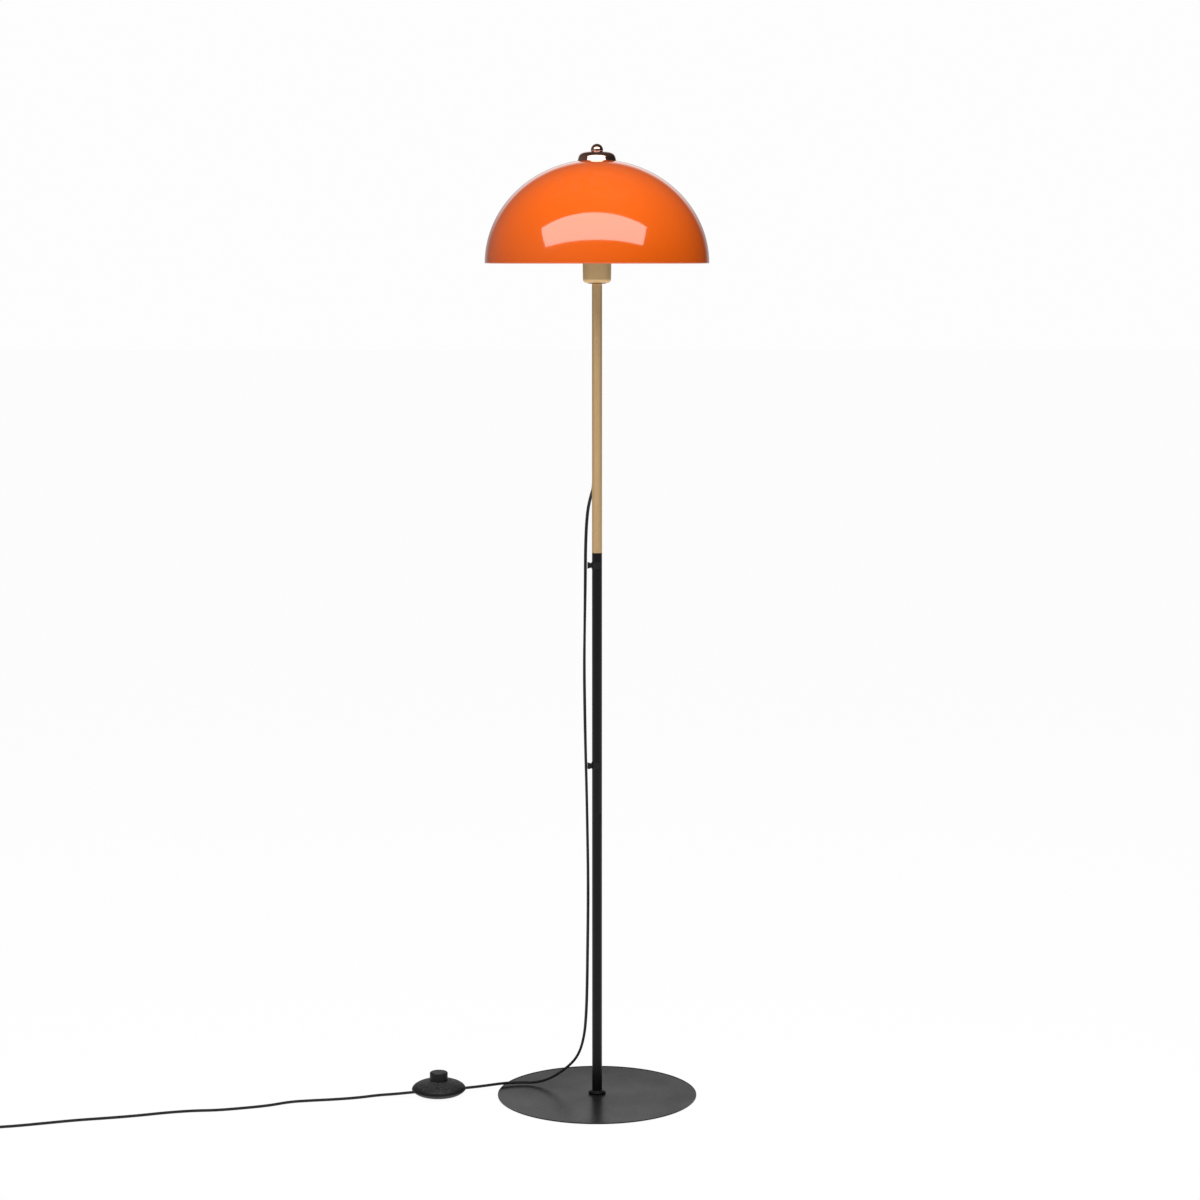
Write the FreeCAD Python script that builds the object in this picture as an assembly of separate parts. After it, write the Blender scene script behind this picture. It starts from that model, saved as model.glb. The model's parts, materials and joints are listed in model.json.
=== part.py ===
import FreeCAD, Part
import math
import os

from FreeCAD import Vector

# A mushroom floor lamp: a flat round foot, a pole of three tubes, a brass cup with the lampholder,
# a wire harp over the bulb, a half-round metal shade with a cap and a ball finial on top, and a flex
# that leaves the upper tube, hangs beside the pole and runs over the floor to a foot switch and a plug.
# Millimetres. +Z is up, the origin is on the floor under the pole, and the front faces -Y.

# Fits
seat_gap = 0.05             # between round pieces that are fixed in each other
running_gap = 0.06          # between a shaft and the piece that turns on it
slide_gap = 0.4             # round the foot button
rest_gap = 0.1              # between flat or domed pieces that only lie against each other
entry_gap = 0.7             # round the flex where it goes into the foot switch
cut_past = 1.0              # how far a cutting shape runs past what it cuts

# Foot
disc_diameter = 320.0
disc_thickness = 3.0
disc_edge_round = 0.8
pad_count = 6
pad_diameter = 18.0
pad_thickness = 1.0
pad_inset = 14.0            # from the rim of the disc to the rim of a pad
foot_screw_diameter = 10.0
foot_screw_key = 6.0        # across the flats of its socket
foot_screw_key_depth = 2.0
foot_screw_end_room = 2.0   # from the end of the screw to the top of its insert
collar_diameter = 27.6
collar_height = 5.6
collar_straight = 3.2       # height of the collar's upright side
collar_top_width = 1.6      # level ring round the tube
collar_side_round = 1.0
collar_top_round = 0.6

# Pole
tube_diameter = 16.0
tube_wall = 1.2
lower_tube_length = 438.0
middle_tube_length = 438.0
upper_tube_length = 422.0
insert_length = 16.0        # threaded bush pressed into each end of a tube
nipple_diameter = 10.0
nipple_bore = 8.0
nipple_length = 26.0
dimple_diameter = 5.6       # stake mark that holds the bush of the middle tube
dimple_depth = 0.5
dimple_above_joint = 20.0
dimple_turn = -50.0         # degrees from +X, seen from above

# Cable clips on the pole
clip_height = 10.4
clip_neck_height = 7.2
clip_band = 0.8
clip_mouth = 100.0          # degrees left open at the back of the band
clip_reach = 7.2            # from the tube to the tip of the jaw
clip_neck_reach = 1.7       # from the tube to where the jaw flares
clip_jaw_wall = 1.1
clip_jaw_bore = 4.4
clip_jaw_mouth = 3.0
clip_bore_past_tip = 0.2    # from the tip of the jaw to the far side of its bore
clip_root_width = 5.0       # of the web between the band and the jaw
upper_clip_below_joint = 20.0
lower_clip_above_joint = 98.0
upper_clip_turn = 180.0     # direction of the jaw, degrees from +X
lower_clip_turn = 198.0

# Lampholder and its cup
cup_diameter = 46.0
cup_height = 46.0
cup_wall = 1.0
cup_corner = 7.0
cup_below_rim = 31.0        # how far the cup hangs below the rim of the shade
holder_diameter = 38.6
holder_wall = 1.8
holder_base_height = 32.0
holder_boss_diameter = 17.0
holder_boss_height = 5.0
holder_shoulder_rise = 6.0
holder_shoulder_round = 4.0
holder_ledge = 2.5          # inside the base, it carries the contact plate
holder_thread_diameter = 39.6
holder_thread_below_ring = 4.0
holder_above_ring = 12.0    # threaded end that stands above the harp's ring
holder_end_round = 0.8
lamp_bore = 27.0
contact_plate_thickness = 8.0
contact_plate_cover = 3.0   # solid top of the contact plate, over the end of the flex
contact_plate_drop = 3.0    # from the top of the holder's base to the top of the contact plate
contact_length = 8.4
contact_width = 6.0
contact_thickness = 0.6
side_contact_height = 8.0
side_contact_rise = 2.0     # from the centre contact to the foot of a side contact
shade_ring_diameter = 54.0
shade_ring_height = 8.0
shade_ring_round = 2.0

# Bulb
bulb_length = 106.0
bulb_diameter = 60.0
bulb_wall = 0.9
bulb_cap_diameter = 26.2
bulb_cap_length = 24.0
bulb_cap_wall = 0.4
bulb_cap_floor = 0.6
bulb_cap_slope = 4.0        # height of the cap's slope round its contact
bulb_cap_seat = 1.0         # level ring between the contact and that slope
bulb_cap_round = 0.8
bulb_tip_diameter = 9.6
bulb_tip_face = 5.8         # across the flat end of the contact
bulb_tip_slope = 1.2
bulb_tip_height = 2.6
bulb_neck_seat = 6.0        # how far the glass reaches into the cap
bulb_neck_rise = 2.0        # upright glass above the cap
bulb_flank_turn = -38.0     # where the neck runs into the globe, degrees from its widest level

# Harp
harp_ring_diameter = 56.0
harp_ring_thickness = 1.5
harp_ring_gap = 0.3         # round the thread of the lampholder
harp_ear_reach = 33.0       # from the axis to the tip of an ear
harp_ear_width = 9.0
harp_wire = 3.2
harp_wire_inset = 3.0       # from the tip of the ear to the middle of the wire
harp_foot_rise = 16.0
harp_half_width = 47.0
harp_flare_rise = 28.0
harp_shoulder_drop = 26.0   # from the top run down to where the wire turns in
harp_plate_diameter = 24.0
harp_plate_flats = 21.0     # across the two faces that the wires are welded to
harp_plate_thickness = 4.0
stud_diameter = 6.0
shade_washer_diameter = 28.0
shade_washer_thickness = 1.5

# Shade, cap and finial
shade_diameter = 350.0
shade_height = 161.0
shade_wall = 0.8
crown_flat_radius = 20.0
shade_hole_gap = 0.35
cap_radius = 30.0
cap_height = 14.0
cap_wall = 1.0
cap_fullness = 2.8          # exponent of the bell's outline, 2 is an ellipse
cap_outline_steps = 10
finial_diameter = 19.0
finial_centre_rise = 2.5    # from the top of the cap to the middle of the ball
finial_hole_end = 3.0       # metal left between the stud and the top of the ball

# Flex
flex_diameter = 5.2
exit_below_cup = 314.0      # where the flex crosses the skin of the upper tube
exit_slope = 30.0           # degrees from the pole
exit_turn = 122.0           # degrees from +X
exit_bend = 26.0            # radius of the flex inside the tube
exit_straight = 26.0        # from the grommet to the free flex's first bend
corner_share = 0.45         # part of the shorter run that the arc at its end takes up
grommet_wall = 0.7
grommet_inside = 0.6        # how far it stands into the tube
grommet_lip = 1.8           # from the tube to the outer face of the grommet
grommet_lip_width = 1.0

# Foot switch
switch_diameter = 87.0
switch_place = Vector(-255.5, 4.0, 0.0)
switch_turn = 16.0          # degrees, the line of its two flexes
switch_foot_diameter = 8.0
switch_foot_height = 1.0
switch_foot_circle = 36.0
switch_floor_diameter = 54.0
switch_base_height = 8.5
switch_dome_height = 15.7
switch_belly_out = 0.62     # share of the way out from the floor's rim, at the belly of the lower shell
switch_belly_up = 0.36      # share of the lower shell's height there
switch_wall = 2.0
switch_entry_level = 8.0
switch_entry_clear = 2.5    # from the rim of the switch to the flex's first bend
button_diameter = 29.0
button_top_round = 2.2
button_inner_round = 1.0
button_stands = 13.6        # how far the button stands out of the cover
button_travel = 3.5
button_wall = 2.0
button_flange = 2.4
button_flange_thickness = 1.7
button_post_diameter = 6.4
guide_depth = 4.0
mechanism_length = 20.0
mechanism_width = 14.0
mechanism_height = 11.0
mechanism_round = 1.0
post_room = 0.7             # left under the pressed button's post
terminal_size = 4.0
terminal_height = 3.2
clamp_place = 20.5          # from the middle of the switch
clamp_length = 5.0
clamp_width = 13.0
clamp_height = 10.0
clamp_screw_diameter = 2.4
clamp_screw_spread = 9.2
clamp_screw_head = 4.0
clamp_screw_head_height = 1.4
clamp_screw_length = 5.5
clamp_screw_hole = 6.0
switch_screw_diameter = 3.0
switch_screw_head = 5.6
switch_screw_head_height = 1.8
switch_screw_place = 21.2
switch_screw_reach = 6.0    # above the joint of the two shells
switch_post_diameter = 7.0
spring_diameter = 11.0
spring_wire = 0.9
spring_turns = 5
spring_knots = 4            # knots of its path in each turn

# Coil of spare flex, its tie and the plug
coil_start = Vector(-968.0, -191.0, 0.0)
coil_heading = 196.8        # degrees from +X, the way the flex runs into the coil
coil_turns_in = 2.5
coil_turns = 5.3
coil_radius = 35.7
coil_gap = 0.6
coil_leave_out = 4.0        # how far the last half turn draws away from the coil
coil_step = 0.25            # turns from one knot of the path to the next
coil_lead_in = 34.0         # straight run before the coil
coil_climb = 0.5            # turns in which it climbs to the upper layer, and in which its end leaves
tie_inner_turns = 0.25      # turns past the reversal, where the tie passes inside the coil
tie_width = 6.0
tie_thickness = 0.7
tie_room = 1.0              # between the turns and the sides of the tie
tie_round = 2.0
tie_turn = 20.0
plug_tail_length = 24.0
plug_tail_end = 8.0
plug_tail_root = 10.5
plug_tail_grooves = 4
plug_groove_width = 1.6
plug_groove_depth = 0.8
plug_groove_step = 4.6
plug_body_length = 36.0
plug_body_width = 26.0
plug_neck_width = 15.0
plug_face_width = 23.0
plug_neck_slope = 12.0      # length over which the body widens
plug_face_slope = 8.0       # length over which it narrows again
plug_thickness = 13.8
plug_round = 2.4
pin_diameter = 4.0
pin_core = 3.0
pin_length = 19.0
pin_sleeve = 10.0
pin_spacing = 18.6
pin_rooted = 8.0
pin_end_round = 0.9

# Levels worked out from the sizes above
disc_top = pad_thickness + disc_thickness
lower_joint = disc_top + lower_tube_length
upper_joint = lower_joint + middle_tube_length
cup_bottom = upper_joint + upper_tube_length
cup_top = cup_bottom + cup_height
rim_level = cup_bottom + cup_below_rim
ring_top = cup_top + harp_ring_thickness
holder_base_top = cup_bottom + cup_wall + holder_base_height
contact_plate_top = holder_base_top - contact_plate_drop
parting_level = switch_foot_height + switch_base_height
mechanism_top = switch_foot_height + switch_wall + mechanism_height

up = Vector(0, 0, 1)
centre = Vector(0, 0, 0)
tube_radius = tube_diameter / 2
flex_radius = flex_diameter / 2
parts = {}


def heading(degrees):
    angle = math.radians(degrees)
    return Vector(math.cos(angle), math.sin(angle), 0)


def rod(radius, low, high, place=centre):
    return Part.makeCylinder(radius, high - low, Vector(place.x, place.y, low))


def ring(outer, inner, low, high, place=centre):
    return rod(outer, low, high, place).cut(rod(inner, low - cut_past, high + cut_past, place))


# The arc that rounds a corner: it starts and ends at the given reach from the corner.
def corner_arc(before, corner, after, reach):
    come = (corner - before).normalize()
    go = (after - corner).normalize()
    half = come.getAngle(go) / 2
    radius = reach / math.tan(half)
    inward = (go - come).normalize()
    middle = corner + inward * (radius / math.cos(half) - radius)
    return corner - come * reach, middle, corner + go * reach, radius


# A closed outline in the XZ plane from (radius, level) or (radius, level, rounding) corners.
def outline(corners):
    points = [Vector(c[0], 0, c[1]) for c in corners]
    ends = []
    for i, c in enumerate(corners):
        before, corner, after = points[i - 1], points[i], points[(i + 1) % len(points)]
        if len(c) == 2:
            ends.append((corner, None, corner))
            continue
        turn = (corner - before).getAngle(after - corner)
        ends.append(corner_arc(before, corner, after, c[2] * math.tan(turn / 2))[:3])
    edges = []
    for i, (start, middle, end) in enumerate(ends):
        if middle is not None:
            edges.append(Part.Arc(start, middle, end).toShape())
        edges.append(Part.LineSegment(end, ends[(i + 1) % len(ends)][0]).toShape())
    return edges


def turned(edges):
    return Part.Face(Part.Wire(edges)).revolve(centre, up, 360)


def line(start, end):
    return Part.LineSegment(Vector(start[0], 0, start[1]), Vector(end[0], 0, end[1])).toShape()


# Part of the upper half of an ellipse round the Z axis, in the XZ plane.
def dome_arc(wide, high, level, start_radius, end_radius):
    start, end = math.acos(start_radius / wide), math.acos(end_radius / wide)
    unit = [Vector(math.cos(a), 0, math.sin(a)) for a in (start, (start + end) / 2, end)]
    stretch = FreeCAD.Matrix()
    stretch.scale(wide, 1, high)
    stretch.move(Vector(0, 0, level))
    return Part.Arc(*unit).toShape().transformGeometry(stretch)


def dome_level(wide, high, radius):
    return high * math.sqrt(1 - (radius / wide) ** 2)


# Straight runs joined by arcs, each as large as its two runs allow.
def rounded_path(points, reach=None):
    edges = []
    radii = []
    here = points[0]
    for before, corner, after in zip(points, points[1:], points[2:]):
        length = reach or corner_share * min((corner - before).Length, (after - corner).Length)
        start, middle, end, radius = corner_arc(before, corner, after, length)
        edges.append(Part.LineSegment(here, start).toShape())
        edges.append(Part.Arc(start, middle, end).toShape())
        radii.append(radius)
        here = end
    edges.append(Part.LineSegment(here, points[-1]).toShape())
    return Part.Wire(edges), radii


def tube_along(path, radius):
    first = path.Edges[0]
    along = first.tangentAt(first.FirstParameter)
    section = Part.Wire(Part.makeCircle(radius, first.valueAt(first.FirstParameter), along))
    return path.makePipeShell([section], True, False)


def half_arc(start, corner, end):
    middle = (start + end) * 0.5
    half_chord = (end - start).Length / 2
    rise = (corner - middle).Length
    bulge = half_chord * math.tan(math.atan(rise / half_chord) / 2)
    return Part.Arc(start, middle + (corner - middle) * (bulge / rise), end).toShape()


# Two arcs that leave one point and reach the next along the given directions.
def biarc(start, leave, end, arrive):
    chord = end - start
    both = leave + arrive
    along = chord.dot(both)
    spread = 2 * (1 - leave.dot(arrive))
    reach = (math.sqrt(along ** 2 + spread * chord.dot(chord)) - along) / spread
    first = start + leave * reach
    last = end - arrive * reach
    joint = (first + last) * 0.5
    return [half_arc(start, first, joint), half_arc(joint, last, end)]


def wound(places, directions):
    edges = []
    for i in range(len(places) - 1):
        edges += biarc(places[i], directions[i], places[i + 1], directions[i + 1])
    return edges


def report_tube(name, solid, path, radius, radii=None):
    ratio = solid.Volume / (math.pi * radius ** 2 * path.Length)
    text = f"{name}: length {path.Length:.1f}, volume over section times length {ratio:.4f}"
    if radii:
        text += f", least radius {min(radii):.1f}"
    print(text)


def make_foot():
    disc_radius = disc_diameter / 2
    screw_radius = foot_screw_diameter / 2
    head_radius = screw_radius + disc_thickness
    disc = turned(outline([
        (screw_radius + seat_gap, disc_top),
        (head_radius + seat_gap, pad_thickness),
        (disc_radius, pad_thickness),
        (disc_radius, disc_top, disc_edge_round),
    ]))
    parts["base_disc"] = disc
    pad_circle = disc_radius - pad_inset - pad_diameter / 2
    parts["base_pads"] = Part.makeCompound([
        rod(pad_diameter / 2, 0, pad_thickness, heading(360 * i / pad_count) * pad_circle)
        for i in range(pad_count)
    ])
    screw_end = disc_top + insert_length - foot_screw_end_room
    screw = turned(outline([
        (0, pad_thickness),
        (head_radius, pad_thickness),
        (screw_radius, disc_top),
        (screw_radius, screw_end),
        (0, screw_end),
    ]))
    key_corner = foot_screw_key / math.sqrt(3)
    key = Part.makePolygon([
        heading(60 * i) * key_corner + Vector(0, 0, pad_thickness) for i in range(7)
    ])
    parts["foot_screw"] = screw.cut(Part.Face(key).extrude(up * foot_screw_key_depth))
    inner = tube_radius + seat_gap
    parts["foot_collar"] = turned(outline([
        (inner, disc_top),
        (collar_diameter / 2, disc_top),
        (collar_diameter / 2, disc_top + collar_straight, collar_side_round),
        (inner + collar_top_width, disc_top + collar_height, collar_top_round),
        (inner, disc_top + collar_height),
    ]))


def tube(low, high):
    return ring(tube_radius, tube_radius - tube_wall, low, high)


def insert(low, high):
    outer = tube_radius - tube_wall - seat_gap
    return ring(outer, nipple_diameter / 2 + seat_gap, low, high)


def nipple(level, length=nipple_length):
    return ring(nipple_diameter / 2, nipple_bore / 2, level - length / 2, level + length / 2)


# The slanting line of the flex where it leaves the upper tube: its corner on the pole's axis,
# the outward direction and the point where the whole flex is clear of the grommet.
def exit_line():
    slope = math.radians(exit_slope)
    out = heading(exit_turn)
    direction = out * math.sin(slope) - up * math.cos(slope)
    corner = Vector(0, 0, cup_bottom - exit_below_cup + tube_radius / math.tan(slope))
    clear = tube_radius + grommet_lip + flex_radius * math.cos(slope) + rest_gap
    return corner, direction, corner + direction * (clear / math.sin(slope))


def make_pole():
    parts["lower_tube"] = tube(disc_top, lower_joint)
    dimple_level = lower_joint + dimple_above_joint
    ball_radius = (dimple_diameter ** 2 / 4 + dimple_depth ** 2) / (2 * dimple_depth)
    ball_place = heading(dimple_turn) * (tube_radius - dimple_depth + ball_radius)
    ball = Part.makeSphere(ball_radius, ball_place + up * dimple_level)
    parts["middle_tube"] = tube(lower_joint, upper_joint).cut(ball)
    corner, direction, end = exit_line()
    slot_radius = flex_radius + grommet_wall + seat_gap
    slot = Part.makeCylinder(slot_radius, (end - corner).Length, corner, direction)
    parts["upper_tube"] = tube(upper_joint, cup_bottom).cut(slot)
    inserts = {
        "foot_insert": (disc_top, 1),
        "lower_tube_insert": (lower_joint, -1),
        "middle_tube_bottom_insert": (lower_joint, 1),
        "middle_tube_top_insert": (upper_joint, -1),
        "upper_tube_bottom_insert": (upper_joint, 1),
        "upper_tube_top_insert": (cup_bottom, -1),
    }
    for name, (level, side) in inserts.items():
        low, high = sorted((level, level + side * insert_length))
        parts[name] = insert(low, high)
    parts["lower_nipple"] = nipple(lower_joint)
    parts["upper_nipple"] = nipple(upper_joint)
    holder_nipple_top = cup_bottom + cup_wall + holder_boss_height
    parts["holder_nipple"] = ring(
        nipple_diameter / 2, nipple_bore / 2, cup_bottom - nipple_length / 2, holder_nipple_top
    )


# A bush of soft plastic in the slanting hole, with a lip outside the tube.
def make_grommet():
    corner, direction, end = exit_line()
    length = (end - corner).Length
    lip_radius = tube_radius + grommet_lip
    inner_end = tube_radius - tube_wall - grommet_inside
    low, high = end.z - tube_diameter, corner.z + tube_diameter
    sleeve = Part.makeCylinder(flex_radius + grommet_wall, length, corner, direction)
    sleeve = sleeve.common(ring(lip_radius, inner_end, low, high))
    lip_size = flex_radius + grommet_wall + grommet_lip_width
    lip = Part.makeCylinder(lip_size, length, corner, direction)
    lip = lip.common(ring(lip_radius, tube_radius + seat_gap, low, high))
    bore = Part.makeCylinder(flex_radius + seat_gap, length + tube_diameter, corner, direction)
    parts["exit_grommet"] = sleeve.fuse(lip).cut(bore).removeSplitter()


# A plastic clip that snaps on the tube and holds out a small open jaw for the flex.
def cable_clip(level, turn):
    low, high = level - clip_height / 2, level + clip_height / 2
    inner = tube_radius + running_gap
    band = ring(inner + clip_band, inner, low, high)
    mouth = math.radians(clip_mouth / 2)
    far = 3 * tube_radius
    wedge = Part.Face(Part.makePolygon([
        Vector(0, 0, low - cut_past),
        Vector(far * math.cos(mouth), far * math.sin(mouth), low - cut_past),
        Vector(far * math.cos(mouth), -far * math.sin(mouth), low - cut_past),
        Vector(0, 0, low - cut_past),
    ])).extrude(up * (clip_height + 2 * cut_past))
    band = band.cut(wedge)
    tip = tube_radius + clip_reach
    jaw_outer = clip_jaw_bore / 2 + clip_jaw_wall
    jaw_place = Vector(-(tip - clip_jaw_bore / 2 + clip_bore_past_tip), 0, 0)
    jaw = rod(jaw_outer, low, high, jaw_place)
    root = Part.makeBox(
        -jaw_place.x - inner - clip_band / 2, clip_root_width, clip_height,
        Vector(jaw_place.x, -clip_root_width / 2, low),
    )
    jaw = jaw.fuse(root).cut(rod(clip_jaw_bore / 2, low - cut_past, high + cut_past, jaw_place))
    jaw = jaw.cut(Part.makeBox(
        jaw_outer * 2, clip_jaw_mouth, clip_height + 2 * cut_past,
        Vector(jaw_place.x - jaw_outer * 2, -clip_jaw_mouth / 2, low - cut_past),
    ))
    neck = tube_radius + clip_neck_reach
    neck_half, tip_half = clip_neck_height / 2, clip_height / 2
    flare = Part.Face(Part.makePolygon([
        Vector(-inner - clip_band / 2, -far, level - neck_half),
        Vector(-neck, -far, level - neck_half),
        Vector(-tip, -far, level - tip_half),
        Vector(-tip, -far, level + tip_half),
        Vector(-neck, -far, level + neck_half),
        Vector(-inner - clip_band / 2, -far, level + neck_half),
        Vector(-inner - clip_band / 2, -far, level - neck_half),
    ])).extrude(Vector(0, 2 * far, 0))
    clip = band.fuse(jaw.common(flare)).removeSplitter()
    clip.rotate(centre, up, turn - 180)
    return clip


def make_clips():
    parts["cable_clip_upper"] = cable_clip(upper_joint - upper_clip_below_joint, upper_clip_turn)
    parts["cable_clip_lower"] = cable_clip(lower_joint + lower_clip_above_joint, lower_clip_turn)


def make_lampholder():
    outer, inner = cup_diameter / 2, cup_diameter / 2 - cup_wall
    cup_floor = cup_bottom + cup_wall
    bore = nipple_diameter / 2 + seat_gap
    parts["lampholder_cup"] = turned(outline([
        (bore, cup_bottom),
        (outer, cup_bottom, cup_corner),
        (outer, cup_top),
        (inner, cup_top),
        (inner, cup_floor, cup_corner - cup_wall),
        (bore, cup_floor),
    ]))
    holder, boss = holder_diameter / 2, holder_boss_diameter / 2
    inside = holder - holder_wall
    shelf = cup_floor + holder_boss_height
    shoulder = shelf + holder_shoulder_rise
    plate_low = contact_plate_top - contact_plate_thickness
    parts["lampholder_base"] = turned(outline([
        (bore, cup_floor),
        (boss, cup_floor),
        (boss, shelf),
        (holder, shoulder, holder_shoulder_round),
        (holder, holder_base_top),
        (inside, holder_base_top),
        (inside, plate_low),
        (inside - holder_ledge, plate_low),
        (inside - holder_ledge, shoulder + holder_wall / 2),
        (boss, shelf + holder_wall),
        (bore, shelf + holder_wall),
    ]))
    plate = inside - seat_gap
    cover_low = contact_plate_top - contact_plate_cover
    parts["contact_plate"] = rod(plate, plate_low, contact_plate_top).cut(
        rod(flex_radius + seat_gap, plate_low, cover_low))
    thread = holder_thread_diameter / 2
    skirt_top = ring_top + holder_above_ring
    thread_low = cup_top - holder_thread_below_ring
    parts["lampholder_skirt"] = turned(outline([
        (lamp_bore / 2, contact_plate_top),
        (plate, contact_plate_top),
        (plate, holder_base_top),
        (holder, holder_base_top),
        (holder, thread_low),
        (thread, thread_low),
        (thread, skirt_top, holder_end_round),
        (lamp_bore / 2, skirt_top, holder_end_round),
    ]))
    parts["centre_contact"] = Part.makeBox(
        contact_length, contact_width, contact_thickness,
        Vector(-contact_length / 2, -contact_width / 2, contact_plate_top),
    )
    side_low = contact_plate_top + contact_thickness + side_contact_rise
    strip = (lamp_bore - bulb_cap_diameter) / 2 - running_gap
    leaf = ring(lamp_bore / 2, lamp_bore / 2 - strip, side_low, side_low + side_contact_height)
    parts["side_contact"] = leaf.common(Part.makeBox(
        lamp_bore, contact_width, 2 * lamp_bore, Vector(0, -contact_width / 2, contact_plate_top),
    ))
    parts["shade_ring"] = turned(outline([
        (thread + seat_gap, ring_top),
        (shade_ring_diameter / 2, ring_top),
        (shade_ring_diameter / 2, ring_top + shade_ring_height, shade_ring_round),
        (thread + seat_gap, ring_top + shade_ring_height),
    ]))


def make_bulb():
    low = contact_plate_top + contact_thickness
    shell_low = low + bulb_tip_height
    shell_top = shell_low + bulb_cap_length
    tip = bulb_tip_diameter / 2
    parts["bulb_contact"] = turned(outline([
        (0, low),
        (bulb_tip_face / 2, low, bulb_cap_round),
        (tip, low + bulb_tip_slope),
        (tip, shell_low),
        (0, shell_low),
    ]))
    shell = bulb_cap_diameter / 2
    parts["bulb_cap"] = turned(outline([
        (0, shell_low),
        (tip + bulb_cap_seat, shell_low, bulb_cap_round),
        (shell, shell_low + bulb_cap_slope, bulb_cap_round),
        (shell, shell_top),
        (shell - bulb_cap_wall, shell_top),
        (shell - bulb_cap_wall, shell_low + bulb_cap_slope + bulb_cap_wall, bulb_cap_round),
        (tip + bulb_cap_seat - bulb_cap_wall, shell_low + bulb_cap_floor),
        (0, shell_low + bulb_cap_floor),
    ]))
    globe = bulb_diameter / 2
    middle = low + bulb_length - globe
    neck = shell - bulb_cap_wall - seat_gap
    neck_low = shell_top - bulb_neck_seat
    waist = shell_top + bulb_neck_rise

    # The neck runs into the globe along an arc that leaves the neck upright and meets the ball's slope.
    def skin(inset):
        ball = globe - inset
        side = neck - inset
        meet = math.radians(bulb_flank_turn)
        join = Vector(ball * math.cos(meet), 0, middle + ball * math.sin(meet))
        slope = Vector(-math.sin(meet), 0, math.cos(meet))
        return side, biarc(Vector(side, 0, waist), up, join, slope), join, ball

    side, flank, join, ball = skin(0)
    top = Vector(0, 0, middle + ball)
    crest = Vector(ball, 0, middle)
    outer = [line((side, neck_low), (side, waist)), *flank, Part.Arc(join, crest, top).toShape()]
    side_in, flank_in, join_in, ball_in = skin(bulb_wall)
    top_in = Vector(0, 0, middle + ball_in)
    crest_in = Vector(ball_in, 0, middle)
    inner = [Part.Arc(top_in, crest_in, join_in).toShape(), *flank_in]
    inner.append(line((side_in, waist), (side_in, neck_low)))
    edges = outer + [Part.LineSegment(top, top_in).toShape()] + inner
    edges.append(line((side_in, neck_low), (side, neck_low)))
    parts["bulb_glass"] = turned(Part.__sortEdges__(edges))


def make_harp():
    thread = holder_thread_diameter / 2
    crown_under = rim_level + dome_level(shade_diameter / 2, shade_height, crown_flat_radius)
    crown_under -= shade_wall
    washer_low = crown_under - shade_washer_thickness
    plate_low = washer_low - harp_plate_thickness
    ear = Part.makeBox(
        2 * harp_ear_reach, harp_ear_width, harp_ring_thickness,
        Vector(-harp_ear_reach, -harp_ear_width / 2, cup_top),
    )
    plate = rod(harp_ring_diameter / 2, cup_top, ring_top).fuse(ear)
    bore = rod(thread + harp_ring_gap, cup_top - cut_past, ring_top + cut_past)
    parts["harp_ring"] = plate.cut(bore).removeSplitter()
    foot = harp_ear_reach - harp_wire_inset
    shoulder = washer_low - harp_plate_thickness / 2
    route = [
        Vector(foot, 0, ring_top),
        Vector(foot, 0, ring_top + harp_foot_rise),
        Vector(harp_half_width, 0, ring_top + harp_foot_rise + harp_flare_rise),
        Vector(harp_half_width, 0, shoulder - harp_shoulder_drop),
        Vector(harp_half_width - harp_shoulder_drop, 0, shoulder),
        Vector(harp_plate_flats / 2, 0, shoulder),
    ]
    path = rounded_path(route)[0]
    wire = tube_along(path, harp_wire / 2)
    parts["harp_wire_right"] = wire
    parts["harp_wire_left"] = wire.mirror(centre, Vector(1, 0, 0))
    stud = stud_diameter / 2
    parts["harp_plate"] = ring(harp_plate_diameter / 2, stud + seat_gap, plate_low, washer_low).common(
        Part.makeBox(
            harp_plate_flats, harp_plate_diameter, harp_plate_thickness,
            Vector(-harp_plate_flats / 2, -harp_plate_diameter / 2, plate_low),
        )
    )
    parts["shade_washer"] = ring(shade_washer_diameter / 2, stud + seat_gap, washer_low, crown_under)
    stud_top = cap_top_level() + finial_centre_rise + finial_diameter / 2 - finial_hole_end
    parts["harp_stud"] = rod(stud, plate_low, stud_top)


def cap_base_level():
    return rim_level + dome_level(shade_diameter / 2, shade_height, cap_radius - cap_wall)


def cap_top_level():
    return cap_base_level() + cap_height


def bell_curve(radius, height, level, hole):
    power = 2 / cap_fullness
    last = math.acos((hole / radius) ** (1 / power))
    points = []
    for i in range(cap_outline_steps + 1):
        a = last * i / cap_outline_steps
        points.append(Vector(
            radius * math.cos(a) ** power, 0, level + height * math.sin(a) ** power
        ))
    curve = Part.BSplineCurve()
    curve.interpolate(Points=points, InitialTangent=up, FinalTangent=Vector(-1, 0, 0))
    return curve.toShape(), points[-1]


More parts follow.
